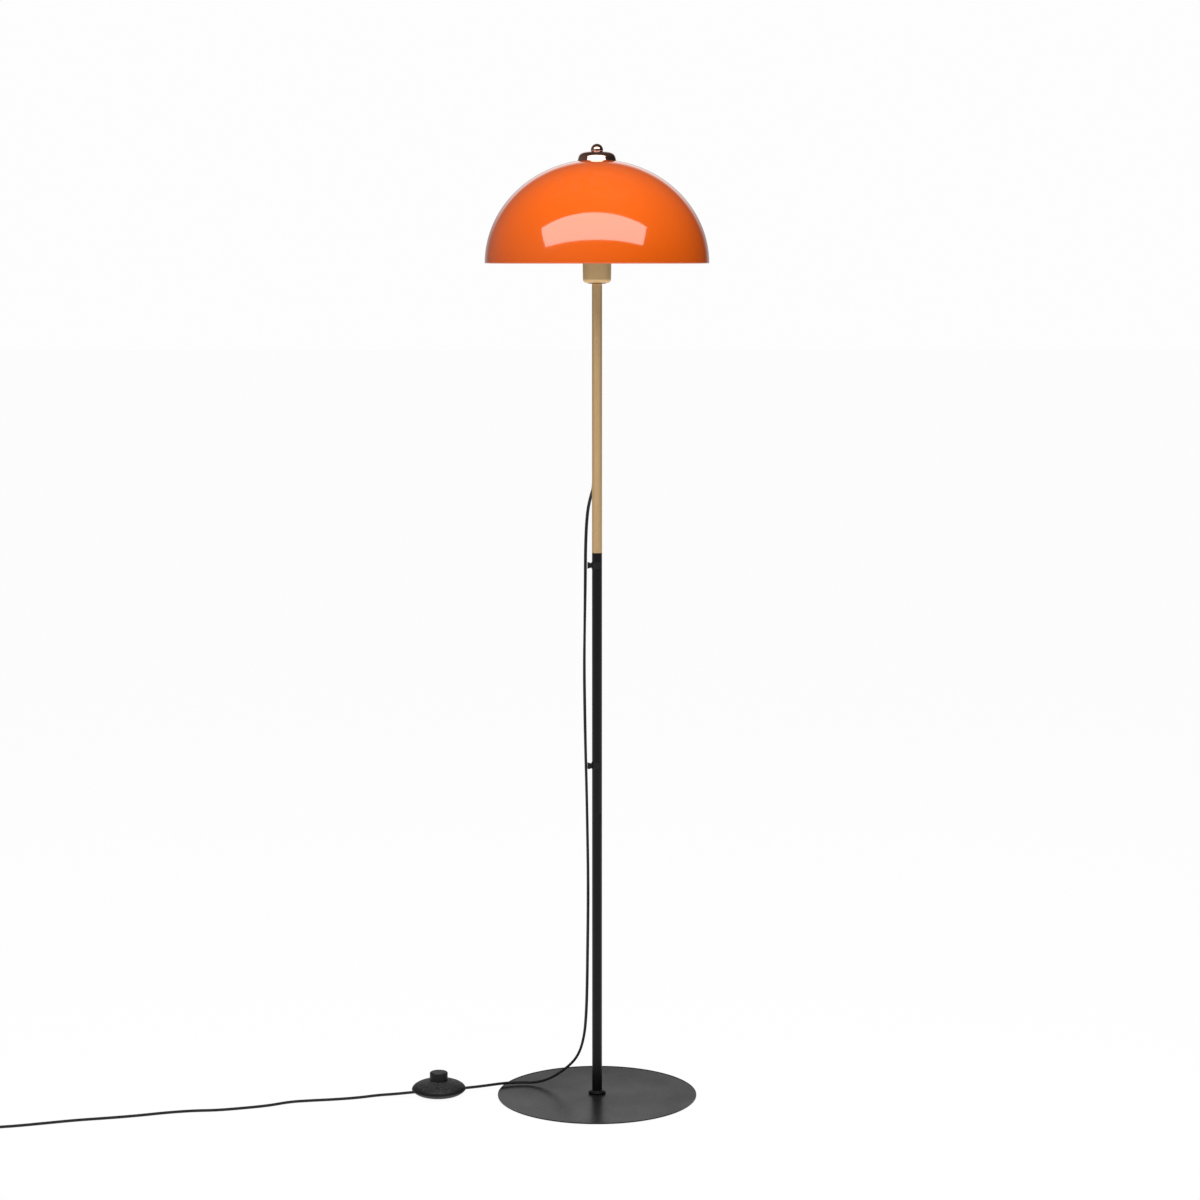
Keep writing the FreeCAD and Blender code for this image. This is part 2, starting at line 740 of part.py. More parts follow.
def make_shade():
    wide, high = shade_diameter / 2, shade_height
    crown = rim_level + dome_level(wide, high, crown_flat_radius)
    under = crown - shade_wall
    hole = stud_diameter / 2 + shade_hole_gap
    inner_wide, inner_high = wide - shade_wall, high - shade_wall
    inner_flat = inner_wide * math.sqrt(1 - ((under - rim_level) / inner_high) ** 2)
    parts["shade"] = turned([
        dome_arc(wide, high, rim_level, wide, crown_flat_radius),
        line((crown_flat_radius, crown), (hole, crown)),
        line((hole, crown), (hole, under)),
        line((hole, under), (inner_flat, under)),
        dome_arc(inner_wide, inner_high, rim_level, inner_flat, inner_wide),
        line((inner_wide, rim_level), (wide, rim_level)),
    ])
    base = cap_base_level()
    outer, outer_end = bell_curve(cap_radius, cap_height, base, hole)
    inner, inner_end = bell_curve(cap_radius - cap_wall, cap_height - cap_wall, base, hole)
    parts["shade_cap"] = turned(Part.__sortEdges__([
        outer,
        Part.LineSegment(outer_end, inner_end).toShape(),
        inner,
        line((cap_radius - cap_wall, base), (cap_radius, base)),
    ]))
    top = cap_top_level()
    ball = finial_diameter / 2
    middle = top + finial_centre_rise
    foot = math.sqrt(ball ** 2 - finial_centre_rise ** 2)
    bore = stud_diameter / 2 + running_gap
    hole_end = middle + ball - finial_hole_end + rest_gap
    crest = Vector(0, 0, middle + ball)
    parts["finial"] = turned([
        line((bore, top), (foot, top)),
        Part.Arc(Vector(foot, 0, top), Vector(ball, 0, middle), crest).toShape(),
        Part.LineSegment(crest, Vector(0, 0, hole_end)).toShape(),
        line((0, hole_end), (bore, hole_end)),
        line((bore, hole_end), (bore, top)),
    ])


# Points of the free flex from the pole to the foot switch, after its first two. It hangs in a slack
# bow beside the pole, sweeps down to the disc and runs over its edge.
hanging_points = [
    (-16.9, 21.0, 928.0), (-18.6, 19.2, 885.0), (-19.0, 17.2, 832.0), (-20.0, 15.6, 768.0),
    (-20.8, 14.8, 702.0), (-20.0, 15.4, 636.0), (-18.9, 14.5, 568.0), (-17.2, 15.7, 500.0),
    (-15.9, 14.9, 432.0), (-14.8, 16.0, 364.0), (-14.8, 15.4, 300.0), (-15.6, 16.8, 238.0),
    (-16.3, 17.6, 182.0), (-17.6, 18.8, 133.0), (-21.0, 21.0, 92.0), (-31.0, 25.0, 58.0),
    (-51.0, 32.0, 35.5), (-76.0, 41.5, 16.5), (-101.0, 50.0, 6.9), (-126.0, 53.5, 6.7),
    (-153.0, 47.5, 6.9), (-182.0, 31.5, 7.2),
]

# Points of the free flex from the foot switch to the coil, after its first two, on the floor.
floor_points = [
    (-325.0, -9.5, 5.6), (-352.0, -6.0, 2.8), (-384.0, -20.0, 2.6), (-421.0, -29.5, 2.6),
    (-461.0, -36.0, 2.6), (-492.0, -43.0, 2.6), (-522.0, -63.0, 2.6), (-562.0, -77.0, 2.6),
    (-602.0, -88.5, 2.6), (-640.0, -91.0, 2.6), (-680.0, -101.0, 2.6), (-722.0, -117.0, 2.6),
    (-768.0, -130.0, 2.6), (-815.0, -141.0, 2.6), (-861.0, -157.0, 2.6), (-903.0, -171.5, 2.6),
]


def switch_point(distance):
    return switch_place + heading(switch_turn) * distance + up * switch_entry_level


def make_flex():
    corner, direction, end = exit_line()
    top = contact_plate_top - contact_plate_cover
    reach = exit_bend * math.tan(math.radians(exit_slope) / 2)
    path, radii = rounded_path([Vector(0, 0, top), corner, end], reach)
    parts["inner_flex"] = tube_along(path, flex_radius)
    report_tube("inner_flex", parts["inner_flex"], path, flex_radius, radii)
    inside = mechanism_length / 2
    outside = switch_diameter / 2 + switch_entry_clear
    route = [end, end + direction * exit_straight]
    route += [Vector(*p) for p in hanging_points]
    route += [switch_point(outside), switch_point(inside)]
    path, radii = rounded_path(route)
    parts["cord_upper"] = tube_along(path, flex_radius)
    report_tube("cord_upper", parts["cord_upper"], path, flex_radius, radii)
    coil_level = flex_radius + tie_thickness + rest_gap
    arrive = heading(coil_heading)
    begin = coil_start + up * coil_level
    route = [switch_point(-inside), switch_point(-outside)]
    route += [Vector(*p) for p in floor_points]
    route += [begin - arrive * coil_lead_in, begin]
    path, radii = rounded_path(route)
    parts["cord_lower"] = tube_along(path, flex_radius)
    report_tube("cord_lower", parts["cord_lower"], path, flex_radius, radii)
    return begin


# The coil winds clockwise in two layers: in on the floor, out again on top of the first layer.
# It climbs in the half turn where the spiral reverses and draws away from itself at the end.
def coil_place(turns, begin):
    pitch = flex_diameter + coil_gap
    radius = coil_radius - pitch * turns
    if turns > coil_turns_in:
        radius = coil_radius - pitch * (2 * coil_turns_in - turns)
    climb = min(max((turns - coil_turns_in) / coil_climb + 1 / 2, 0), 1)
    level = pitch * climb ** 2 * (3 - 2 * climb)
    leaving = min(max((turns - coil_turns + coil_climb) / coil_climb, 0), 1)
    radius += coil_leave_out * leaving ** 2
    plug_level = plug_thickness / 2 - begin.z
    level += (plug_level - pitch) * leaving ** 3
    side = coil_heading + 90
    middle = begin + heading(coil_heading - 90) * coil_radius
    return middle + heading(side - 360 * turns) * radius + up * level


# The coil starts and ends with one diameter of straight flex.
def make_coil(begin):
    arrive = heading(coil_heading)
    first = begin + arrive * flex_diameter
    count = math.ceil(coil_turns / coil_step)
    turns = [coil_turns * i / count for i in range(count + 1)]
    places = [coil_place(t, first) for t in turns]
    small = coil_step / 100
    directions = [
        (coil_place(t + small, first) - coil_place(t - small, first)).normalize() for t in turns
    ]
    leave = Vector(directions[-1].x, directions[-1].y, 0).normalize()
    directions[0], directions[-1] = arrive, leave
    end = places[-1] + leave * flex_diameter
    edges = [Part.LineSegment(begin, first).toShape()]
    edges += wound(places, directions)
    edges.append(Part.LineSegment(places[-1], end).toShape())
    path = Part.Wire(edges)
    parts["cord_coil"] = tube_along(path, flex_radius)
    report_tube("cord_coil", parts["cord_coil"], path, flex_radius)
    spacing = flex_radius / 2
    points = path.discretize(Distance=spacing)
    apart = int(4 * flex_diameter / spacing)
    least = min(
        (points[i] - points[j]).Length
        for i in range(len(points)) for j in range(i + apart, len(points))
    )
    print(f"cord_coil: least gap to itself {least - flex_diameter:.2f}")
    return first, end, leave


# A flat band round the whole bundle of turns, which also lies under it.
def make_tie(first):
    pitch = flex_diameter + coil_gap
    middle = first + heading(coil_heading - 90) * coil_radius
    inner = coil_radius - pitch * (coil_turns_in + tie_inner_turns) - flex_radius - tie_room
    outer = coil_radius + flex_radius + tie_room
    top = first.z + pitch + flex_radius + rest_gap
    t = tie_thickness
    outside = outline([
        (inner - t, 0, tie_round), (outer + t, 0, tie_round),
        (outer + t, top + t, tie_round), (inner - t, top + t, tie_round),
    ])
    inside = outline([
        (inner, t, tie_round - t), (outer, t, tie_round - t),
        (outer, top, tie_round - t), (inner, top, tie_round - t),
    ])
    face = Part.Face(Part.Wire(outside)).cut(Part.Face(Part.Wire(inside)))
    tie = face.extrude(Vector(0, tie_width, 0))
    tie.translate(Vector(0, -tie_width / 2, 0))
    tie.rotate(centre, up, tie_turn)
    tie.translate(Vector(middle.x, middle.y, 0))
    parts["cord_tie"] = tie


# The plug is built along +X with the flex coming in at the origin.
def make_plug(end, along):
    ahead = Vector(1, 0, 0)
    start = plug_tail_length
    face = start + plug_body_length
    half = plug_body_width / 2
    tail = Part.makeCone(plug_tail_end / 2, plug_tail_root / 2, start, centre, ahead)
    for i in range(1, plug_tail_grooves + 1):
        place = Vector(i * plug_groove_step - plug_groove_width / 2, 0, 0)
        radius = plug_tail_end / 2 + (plug_tail_root - plug_tail_end) / 2 * place.x / start
        groove = Part.makeCylinder(plug_tail_root, plug_groove_width, place, ahead)
        core = Part.makeCylinder(radius - plug_groove_depth, plug_groove_width, place, ahead)
        tail = tail.cut(groove.cut(core))
    plan = [
        (start, plug_neck_width / 2), (start + plug_neck_slope, half),
        (face - plug_face_slope, half), (face, plug_face_width / 2),
    ]
    corners = plan + [(x, -y) for x, y in reversed(plan)]
    points = [Vector(x, y, -plug_thickness / 2) for x, y in corners]
    slab = Part.Face(Part.makePolygon(points + points[:1])).extrude(up * plug_thickness)
    body = slab.makeFillet(plug_round, slab.Edges).fuse(tail)
    pins = []
    for side in (-1, 1):
        y = side * pin_spacing / 2
        root = Vector(face - pin_rooted, y, 0)
        rooted = pin_rooted + pin_sleeve
        body = body.fuse(Part.makeCylinder(pin_diameter / 2, rooted, root, ahead))
        body = body.cut(Part.makeCylinder(pin_core / 2 + seat_gap, rooted, root, ahead))
        core = Part.makeCylinder(pin_core / 2, rooted, root, ahead)
        bare = pin_length - pin_sleeve
        tip = Part.makeCylinder(pin_diameter / 2, bare, root + ahead * rooted, ahead)
        end_edge = max(tip.Edges, key=lambda e: e.CenterOfMass.x)
        pins.append(core.fuse(tip.makeFillet(pin_end_round, [end_edge])).removeSplitter())
    turn = math.degrees(math.atan2(along.y, along.x))
    for name, shape in (("plug_body", body.removeSplitter()), ("plug_pins", Part.makeCompound(pins))):
        shape.rotate(centre, up, turn)
        shape.translate(end)
        parts[name] = shape


def place_switch(name, shape):
    shape.rotate(centre, up, switch_turn)
    shape.translate(switch_place)
    parts[name] = shape


def make_switch():
    radius = switch_diameter / 2
    low = switch_foot_height
    floor = low + switch_wall
    floor_radius = switch_floor_diameter / 2
    hole = Part.makeCylinder(
        flex_radius + entry_gap, 2 * switch_diameter,
        Vector(-switch_diameter, 0, switch_entry_level), Vector(1, 0, 0),
    )
    posts = [Vector(0, side * switch_screw_place, 0) for side in (-1, 1)]
    place_switch("switch_feet", Part.makeCompound([
        rod(switch_foot_diameter / 2, 0, low, heading(45 + 90 * i) * (switch_foot_circle / 2))
        for i in range(4)
    ]))
    widening = radius - floor_radius
    belly = Vector(floor_radius + widening * switch_belly_out, 0, low + switch_base_height * switch_belly_up)
    inward = Vector(-switch_base_height, 0, widening).normalize()
    base = turned([
        line((0, low), (floor_radius, low)),
        Part.Arc(Vector(floor_radius, 0, low), belly, Vector(radius, 0, parting_level)).toShape(),
        line((radius, parting_level), (radius - switch_wall, parting_level)),
        Part.Arc(
            Vector(radius - switch_wall, 0, parting_level), belly + inward * switch_wall,
            Vector(floor_radius, 0, floor),
        ).toShape(),
        line((floor_radius, floor), (0, floor)),
        line((0, floor), (0, low)),
    ])
    screw = switch_screw_diameter / 2
    head = switch_screw_head / 2
    for post in posts:
        base = base.fuse(rod(switch_post_diameter / 2, low, parting_level, post))
        base = base.cut(rod(screw + rest_gap, low - cut_past, parting_level + cut_past, post))
        head_room = low + switch_screw_head_height + rest_gap
        base = base.cut(rod(head + rest_gap, low - cut_past, head_room, post))
    place_switch("switch_base", base.cut(hole).removeSplitter())
    opening = button_diameter / 2 + slide_gap
    dome_top = dome_level(radius, switch_dome_height, opening)
    inner_wide, inner_high = radius - switch_wall, switch_dome_height - switch_wall
    guide_outer = opening + switch_wall
    cover = turned([
        dome_arc(radius, switch_dome_height, parting_level, radius, opening),
        line((opening, parting_level + dome_top), (opening, parting_level + dome_top - guide_depth)),
        line((opening, parting_level + dome_top - guide_depth),
             (guide_outer, parting_level + dome_top - guide_depth)),
        line((guide_outer, parting_level + dome_top - guide_depth),
             (guide_outer, parting_level + dome_level(inner_wide, inner_high, guide_outer))),
        dome_arc(inner_wide, inner_high, parting_level, guide_outer, inner_wide),
        line((inner_wide, parting_level), (radius, parting_level)),
    ])
    whole = turned([
        line((0, parting_level), (radius, parting_level)),
        dome_arc(radius, switch_dome_height, parting_level, radius, 0),
        line((0, parting_level + switch_dome_height), (0, parting_level)),
    ])
    screw_top = parting_level + switch_screw_reach
    for post in posts:
        boss = rod(switch_post_diameter / 2, parting_level, parting_level + switch_dome_height, post)
        boss = boss.cut(rod(guide_outer, 0, parting_level + switch_dome_height)).common(whole)
        cover = cover.fuse(boss).cut(rod(screw + seat_gap, 0, screw_top + rest_gap, post))
    place_switch("switch_cover", cover.cut(hole).removeSplitter())
    place_switch("switch_screws", Part.makeCompound([
        rod(head, low, low + switch_screw_head_height, post).fuse(
            rod(screw, low, screw_top, post)).removeSplitter()
        for post in posts
    ]))
    guide_low = parting_level + dome_top - guide_depth
    make_button(guide_low, parting_level + dome_top + button_stands)
    make_mechanism(floor)


def make_button(guide_low, top):
    radius = button_diameter / 2
    flange_top = guide_low - rest_gap
    flange_low = flange_top - button_flange_thickness
    inner = radius - button_wall
    under = top - button_wall
    post = button_post_diameter / 2
    post_low = mechanism_top + button_travel + post_room
    place_switch("switch_button", turned(outline([
        (0, top),
        (0, post_low),
        (post, post_low),
        (post, under),
        (inner, under, button_inner_round),
        (inner, flange_low),
        (radius + button_flange, flange_low),
        (radius + button_flange, flange_top),
        (radius, flange_top),
        (radius, top, button_top_round),
    ])))
    wire = spring_wire / 2
    low, high = mechanism_top + wire + rest_gap, under - wire - rest_gap
    mean = spring_diameter / 2 - wire
    rise = high - low
    turns = [i / spring_knots for i in range(spring_knots * spring_turns + 1)]
    places = [heading(360 * t) * mean + up * (low + rise * t / spring_turns) for t in turns]
    slope = rise / spring_turns / (2 * math.pi * mean)
    directions = [(heading(360 * t + 90) + up * slope).normalize() for t in turns]
    path = Part.Wire(wound(places, directions))
    spring = tube_along(path, wire)
    report_tube("switch_spring", spring, path, wire)
    print(f"switch_spring: least gap to itself {rise / spring_turns - spring_wire:.2f}")
    place_switch("switch_spring", spring)


def make_mechanism(floor):
    half = mechanism_length / 2
    block = Part.makeBox(
        mechanism_length, mechanism_width, mechanism_height,
        Vector(-half, -mechanism_width / 2, floor),
    )
    upright = [e for e in block.Edges if e.BoundBox.ZLength > mechanism_height / 2]
    place_switch("switch_mechanism", block.makeFillet(mechanism_round, upright))
    place_switch("switch_terminals", Part.makeCompound([
        Part.makeBox(
            terminal_size / 2, terminal_size, terminal_height,
            Vector(side * (half - terminal_size / 4) - terminal_size / 4,
                   -terminal_size / 2, mechanism_top),
        )
        for side in (-1, 1)
    ]))
    clamps = []
    screws = []
    for side in (-1, 1):
        saddle = Part.makeBox(
            clamp_length, clamp_width, clamp_height,
            Vector(side * clamp_place - clamp_length / 2, -clamp_width / 2, floor),
        )
        passage = Part.makeCylinder(
            flex_radius + rest_gap, clamp_length + 2 * cut_past,
            Vector(side * clamp_place - clamp_length / 2 - cut_past, 0, switch_entry_level),
            Vector(1, 0, 0),
        )
        saddle = saddle.cut(passage)
        for across in (-1, 1):
            spot = Vector(side * clamp_place, across * clamp_screw_spread / 2, 0)
            top = floor + clamp_height
            hole = rod(clamp_screw_diameter / 2 + seat_gap, top - clamp_screw_hole, top + cut_past, spot)
            saddle = saddle.cut(hole)
            shank = rod(clamp_screw_diameter / 2, top - clamp_screw_length, top, spot)
            head = rod(clamp_screw_head / 2, top, top + clamp_screw_head_height, spot)
            screws.append(shank.fuse(head).removeSplitter())
        clamps.append(saddle)
    place_switch("switch_clamps", Part.makeCompound(clamps))
    place_switch("clamp_screws", Part.makeCompound(screws))


make_foot()
make_pole()
make_grommet()
make_clips()
make_lampholder()
make_bulb()
make_harp()
make_shade()
make_switch()
coil_begin = make_flex()
first_turn, coil_end, coil_leave = make_coil(coil_begin)
make_tie(first_turn)
make_plug(coil_end, coil_leave)

os.makedirs("parts", exist_ok=True)
for name, shape in parts.items():
    shape.exportStep(f"parts/{name}.step")
    print(f"{name}: {len(shape.Solids)} solid, {shape.Volume:.0f} mm3, valid {shape.isValid()}")
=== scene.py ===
import json
import math

import bmesh
import bpy
from mathutils import Matrix, Quaternion, Vector


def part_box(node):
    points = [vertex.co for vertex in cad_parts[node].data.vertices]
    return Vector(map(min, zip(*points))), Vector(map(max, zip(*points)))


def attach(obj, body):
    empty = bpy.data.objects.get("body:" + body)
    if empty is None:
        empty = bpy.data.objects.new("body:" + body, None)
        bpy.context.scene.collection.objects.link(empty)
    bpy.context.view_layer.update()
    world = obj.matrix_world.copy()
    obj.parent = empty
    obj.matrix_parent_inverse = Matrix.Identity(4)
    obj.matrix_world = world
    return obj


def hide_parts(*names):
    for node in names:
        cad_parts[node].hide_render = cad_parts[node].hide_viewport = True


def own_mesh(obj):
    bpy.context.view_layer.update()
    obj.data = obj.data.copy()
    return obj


bpy.context.scene.view_settings.view_transform = "Standard"
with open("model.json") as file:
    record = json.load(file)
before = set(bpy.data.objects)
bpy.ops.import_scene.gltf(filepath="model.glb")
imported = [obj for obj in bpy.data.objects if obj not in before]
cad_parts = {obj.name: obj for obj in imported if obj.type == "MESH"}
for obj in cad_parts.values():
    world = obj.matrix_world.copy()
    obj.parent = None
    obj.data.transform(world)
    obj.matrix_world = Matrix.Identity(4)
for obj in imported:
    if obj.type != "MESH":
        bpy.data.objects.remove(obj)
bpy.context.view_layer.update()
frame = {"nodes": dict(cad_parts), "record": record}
mm = 0.001
up = Vector((0, 0, 1))


# Helpers that put a mesh into the scene

def addObject(name, data):
    piece = bpy.data.objects.new(name, data)
    bpy.context.scene.collection.objects.link(piece)
    return piece


def sharpenByAngle(mesh, degrees=32):
    shape = bmesh.new()
    shape.from_mesh(mesh)
    for face in shape.faces:
        face.smooth = True
    for edge in shape.edges:
        edge.smooth = len(edge.link_faces) == 2 and edge.calc_face_angle(0) < math.radians(degrees)
    shape.to_mesh(mesh)
    shape.free()


def heading(degrees):
    angle = math.radians(degrees)
    return Vector((math.cos(angle), math.sin(angle), 0))


# Camera

cameraSetup = {
    "place": (0.0047, -4.482, 1.333),
    "tiltDown": 6.72,
    "lens": 85.65,
    "sensor": 36.0,
    "clipEnd": 60,
}


def makeCamera():
    data = bpy.data.cameras.new("camera")
    data.lens = cameraSetup["lens"]
    data.sensor_width = cameraSetup["sensor"]
    data.clip_end = cameraSetup["clipEnd"]
    camera = addObject("camera", data)
    camera.location = cameraSetup["place"]
    camera.rotation_euler = (math.radians(90 - cameraSetup["tiltDown"]), 0, 0)
    bpy.context.scene.camera = camera


makeCamera()
print("camera ready")


# Flex

flex = {
    "width": 5.2 * mm,
    "thickness": 4.2 * mm,
    "sectionPoints": 20,
    "sectionFullness": 2.6,     # 2 is an ellipse
    "hangingRoll": 0.8,         # how far the flat flex turns about itself as it hangs
    "rollStart": 30,            # mm above the floor, where the turning begins
    "rollGrowth": 90,           # mm over which it comes on
    "rollWave": 3.1,
    "rollSway": 0.9,
    "swayWave": 9,
    "curveSteps": 8,
    "shortestStep": 0.1 * mm,
    "crispAngle": 50,
    "upperLength": 1.165,
    "lowerLength": 1.71,
}
flexExit = {
    "cupBottom": 1302,
    "belowCup": 314,            # where the flex crosses the skin of the upper tube
    "tubeRadius": 8,
    "grommetLip": 1.8,
    "halfFlex": 2.6,
    "gap": 0.1,
    "slope": 30,                # degrees from the pole
    "turn": 122,                # degrees from +X
    "firstRun": 26 * mm,
}
footSwitch = {
    "place": Vector((-255.5, 4.0, 0)) * mm,
    "turn": 16,
    "entryLevel": 8 * mm,
    "outside": 46 * mm,
    "inside": 10 * mm,
}
hangingPoints = [
    (-16.9, 21.0, 928.0), (-18.6, 19.2, 885.0), (-19.0, 17.2, 832.0), (-20.0, 15.6, 768.0),
    (-20.8, 14.8, 702.0), (-20.0, 15.4, 636.0), (-18.9, 14.5, 568.0), (-17.2, 15.7, 500.0),
    (-15.9, 14.9, 432.0), (-14.8, 16.0, 364.0), (-14.8, 15.4, 300.0), (-15.6, 16.8, 238.0),
    (-16.3, 17.6, 182.0), (-17.6, 18.8, 133.0), (-21.0, 21.0, 92.0), (-31.0, 25.0, 58.0),
    (-51.0, 32.0, 35.5), (-76.0, 41.5, 16.5), (-101.0, 50.0, 6.9), (-126.0, 53.5, 6.7),
    (-153.0, 47.5, 6.9), (-182.0, 31.5, 7.2),
]
floorPoints = [
    (-325.0, -9.5, 5.6), (-352.0, -6.0, 2.8), (-384.0, -20.0, 2.6), (-421.0, -29.5, 2.6),
    (-461.0, -36.0, 2.6), (-492.0, -43.0, 2.6), (-522.0, -63.0, 2.6), (-562.0, -77.0, 2.6),
    (-602.0, -88.5, 2.6), (-640.0, -91.0, 2.6), (-680.0, -101.0, 2.6), (-722.0, -117.0, 2.6),
    (-768.0, -130.0, 2.6), (-815.0, -141.0, 2.6), (-861.0, -157.0, 2.6), (-903.0, -171.5, 2.6),
]
coil = {
    "start": Vector((-968.0, -191.0, 3.4)) * mm,
    "heading": 196.8,
    "turnsIn": 2.5,
    "turns": 5.3,
    "radius": 35.7 * mm,
    "pitch": 5.8 * mm,
    "leaveOut": 4 * mm,
    "plugLevel": 6.9 * mm,
    "leadIn": 34 * mm,
    "pointsPerTurn": 24,
    "climbTurns": 0.5,          # over which the spiral climbs on top of itself
    "leaveTurns": 0.5,          # over which its end leaves for the plug
    "leaveStep": 0.004,
}


def switchPoint(distance):
    return footSwitch["place"] + heading(footSwitch["turn"]) * distance + up * footSwitch["entryLevel"]


def upperRoute():
    e = flexExit
    slope = math.radians(e["slope"])
    direction = heading(e["turn"]) * math.sin(slope) - up * math.cos(slope)
    corner = (e["cupBottom"] - e["belowCup"] + e["tubeRadius"] / math.tan(slope)) * mm
    sideways = e["tubeRadius"] + e["grommetLip"] + e["halfFlex"] * math.cos(slope) + e["gap"]
    start = up * corner + direction * (sideways / math.sin(slope) * mm)
    points = [start, start + direction * e["firstRun"]]
    points += [Vector(p) * mm for p in hangingPoints]
    return points + [switchPoint(footSwitch["outside"]), switchPoint(footSwitch["inside"])]


# Clockwise, in on the floor and out again on top, climbing where the spiral reverses
def coilPoint(turns, first):
    c = coil
    radius = c["radius"] - c["pitch"] * turns
    if turns > c["turnsIn"]:
        radius = c["radius"] - c["pitch"] * (2 * c["turnsIn"] - turns)
    climb = min(max((turns - c["turnsIn"]) / c["climbTurns"] + 0.5, 0), 1)
    level = c["pitch"] * climb ** 2 * (3 - 2 * climb)
    leaving = min(max((turns - c["turns"] + c["leaveTurns"]) / c["leaveTurns"], 0), 1)
    radius += c["leaveOut"] * leaving ** 2
    level += (c["plugLevel"] - first.z - c["pitch"]) * leaving ** 3
    # a quadratic spline runs this much inside its control points
    radius /= math.cos(math.pi / c["pointsPerTurn"])
    middle = first + heading(c["heading"] - 90) * c["radius"]
    return middle + heading(c["heading"] + 90 - 360 * turns) * radius + up * level


def lowerRoute():
    arrive = heading(coil["heading"])
    begin = coil["start"]
    first = begin + arrive * flex["width"]
    points = [switchPoint(-footSwitch["inside"]), switchPoint(-footSwitch["outside"])]
    points += [Vector(p) * mm for p in floorPoints]
    points += [begin - arrive * coil["leadIn"], begin]
    steps = round(coil["turns"] * coil["pointsPerTurn"])
    points += [coilPoint(coil["turns"] * i / steps, first) for i in range(1, steps + 1)]
    leave = coilPoint(coil["turns"], first) - coilPoint(coil["turns"] - coil["leaveStep"], first)
    leave.z = 0
    return points + [points[-1] + leave.normalized() * flex["width"]]


def smoothLine(name, points):
    data = bpy.data.curves.new(name + "Line", "CURVE")
    data.dimensions = "3D"
    spline = data.splines.new("NURBS")
    spline.points.add(len(points) - 1)
    for control, place in zip(spline.points, points):
        control.co = (*place, 1)
    spline.order_u = 3
    spline.use_endpoint_u = True
    spline.resolution_u = flex["curveSteps"]
    guide = addObject(name + "Line", data)
    depsgraph = bpy.context.evaluated_depsgraph_get()
    mesh = bpy.data.meshes.new_from_object(guide.evaluated_get(depsgraph))
    line = [v.co.copy() for v in mesh.vertices]
    bpy.data.objects.remove(guide)
    bpy.data.meshes.remove(mesh)
    return [p for i, p in enumerate(line) if i == 0 or (p - line[i - 1]).length > flex["shortestStep"]]


def tangents(line):
    ends = [line[0]] + line + [line[-1]]
    return [(ends[i + 2] - ends[i]).normalized() for i in range(len(line))]


# The flat side's direction, carried along the line from its last point back to its first
def carriedNormals(line):
    along = tangents(line)
    normals = [up.copy()]
    for i in range(len(line) - 2, -1, -1):
        turn = along[i + 1].rotation_difference(along[i])
        carried = turn @ normals[0]
        normals.insert(0, (carried - along[i] * carried.dot(along[i])).normalized())
    return normals


def flatSection():
    power = 2 / flex["sectionFullness"]
    section = []
    for i in range(flex["sectionPoints"]):
        a = 2 * math.pi * i / flex["sectionPoints"]
        c, s = math.cos(a), math.sin(a)
        section.append((
            math.copysign(abs(c) ** power, c) * flex["width"] / 2,
            math.copysign(abs(s) ** power, s) * flex["thickness"] / 2,
        ))
    return section


def flexMesh(name, line, normals, rolls):
    shape = bmesh.new()
    uv = shape.loops.layers.uv.new("along")
    section = flatSection()
    count = len(section)
    drop = (flex["width"] - flex["thickness"]) / 2
    rings = []
    run = [0.0]
    for i in range(1, len(line)):
        run.append(run[-1] + (line[i] - line[i - 1]).length)
    for place, along, normal, roll in zip(line, tangents(line), normals, rolls):
        side = along.cross(normal)
        flat = side * math.cos(roll) + normal * math.sin(roll)
        thick = normal * math.cos(roll) - side * math.sin(roll)
        middle = place - thick * drop * math.cos(roll)
        rings.append([shape.verts.new(middle + flat * x + thick * y) for x, y in section])
    for i in range(len(rings) - 1):
        for k in range(count):
            n = (k + 1) % count
            face = shape.faces.new((rings[i][k], rings[i][n], rings[i + 1][n], rings[i + 1][k]))
            corners = ((run[i], k), (run[i], k + 1), (run[i + 1], k + 1), (run[i + 1], k))
            for loop, (length, turn) in zip(face.loops, corners):
                loop[uv].uv = (turn / count, length / flex["width"])
    shape.faces.new(rings[0])
    shape.faces.new(reversed(rings[-1]))
    bmesh.ops.recalc_face_normals(shape, faces=shape.faces)
    mesh = bpy.data.meshes.new(name)
    shape.to_mesh(mesh)
    shape.free()
    sharpenByAngle(mesh, flex["crispAngle"])
    return addObject(name, mesh)


def lineLength(line):
    return sum((b - a).length for a, b in zip(line, line[1:]))


def rollAt(level):
    f = flex
    hanging = min(max((level / mm - f["rollStart"]) / f["rollGrowth"], 0), 1)
    wave = math.sin(f["rollWave"] * level + f["rollSway"] * math.sin(f["swayWave"] * level))
    return f["hangingRoll"] * hanging * wave


def makeCords():
    line = smoothLine("cordUpper", upperRoute())
    upper = flexMesh("cordUpper", line, carriedNormals(line), [rollAt(p.z) for p in line])
    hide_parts("cord_upper")
    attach(upper, "root")
    print("flex from the pole to the foot switch:", round(lineLength(line), 3), "m")
    line = smoothLine("cordLower", lowerRoute())
    normals = [(up - t * up.dot(t)).normalized() for t in tangents(line)]
    lower = flexMesh("cordLower", line, normals, [0.0] * len(line))
    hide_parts("cord_lower", "cord_coil")
    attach(lower, "root")
    print("flex from the foot switch to the plug:", round(lineLength(line), 3), "m")
    return upper, lower


cordUpper, cordLower = makeCords()


# Helpers for node trees

def feed(tree, socket, value):
    if isinstance(value, bpy.types.NodeSocket):
        tree.links.new(value, socket)
    elif value is not None:
        socket.default_value = value


def addNode(tree, kind, **settings):
    node = tree.nodes.new(kind)
    for name, value in settings.items():
        setattr(node, name, value)
    return node


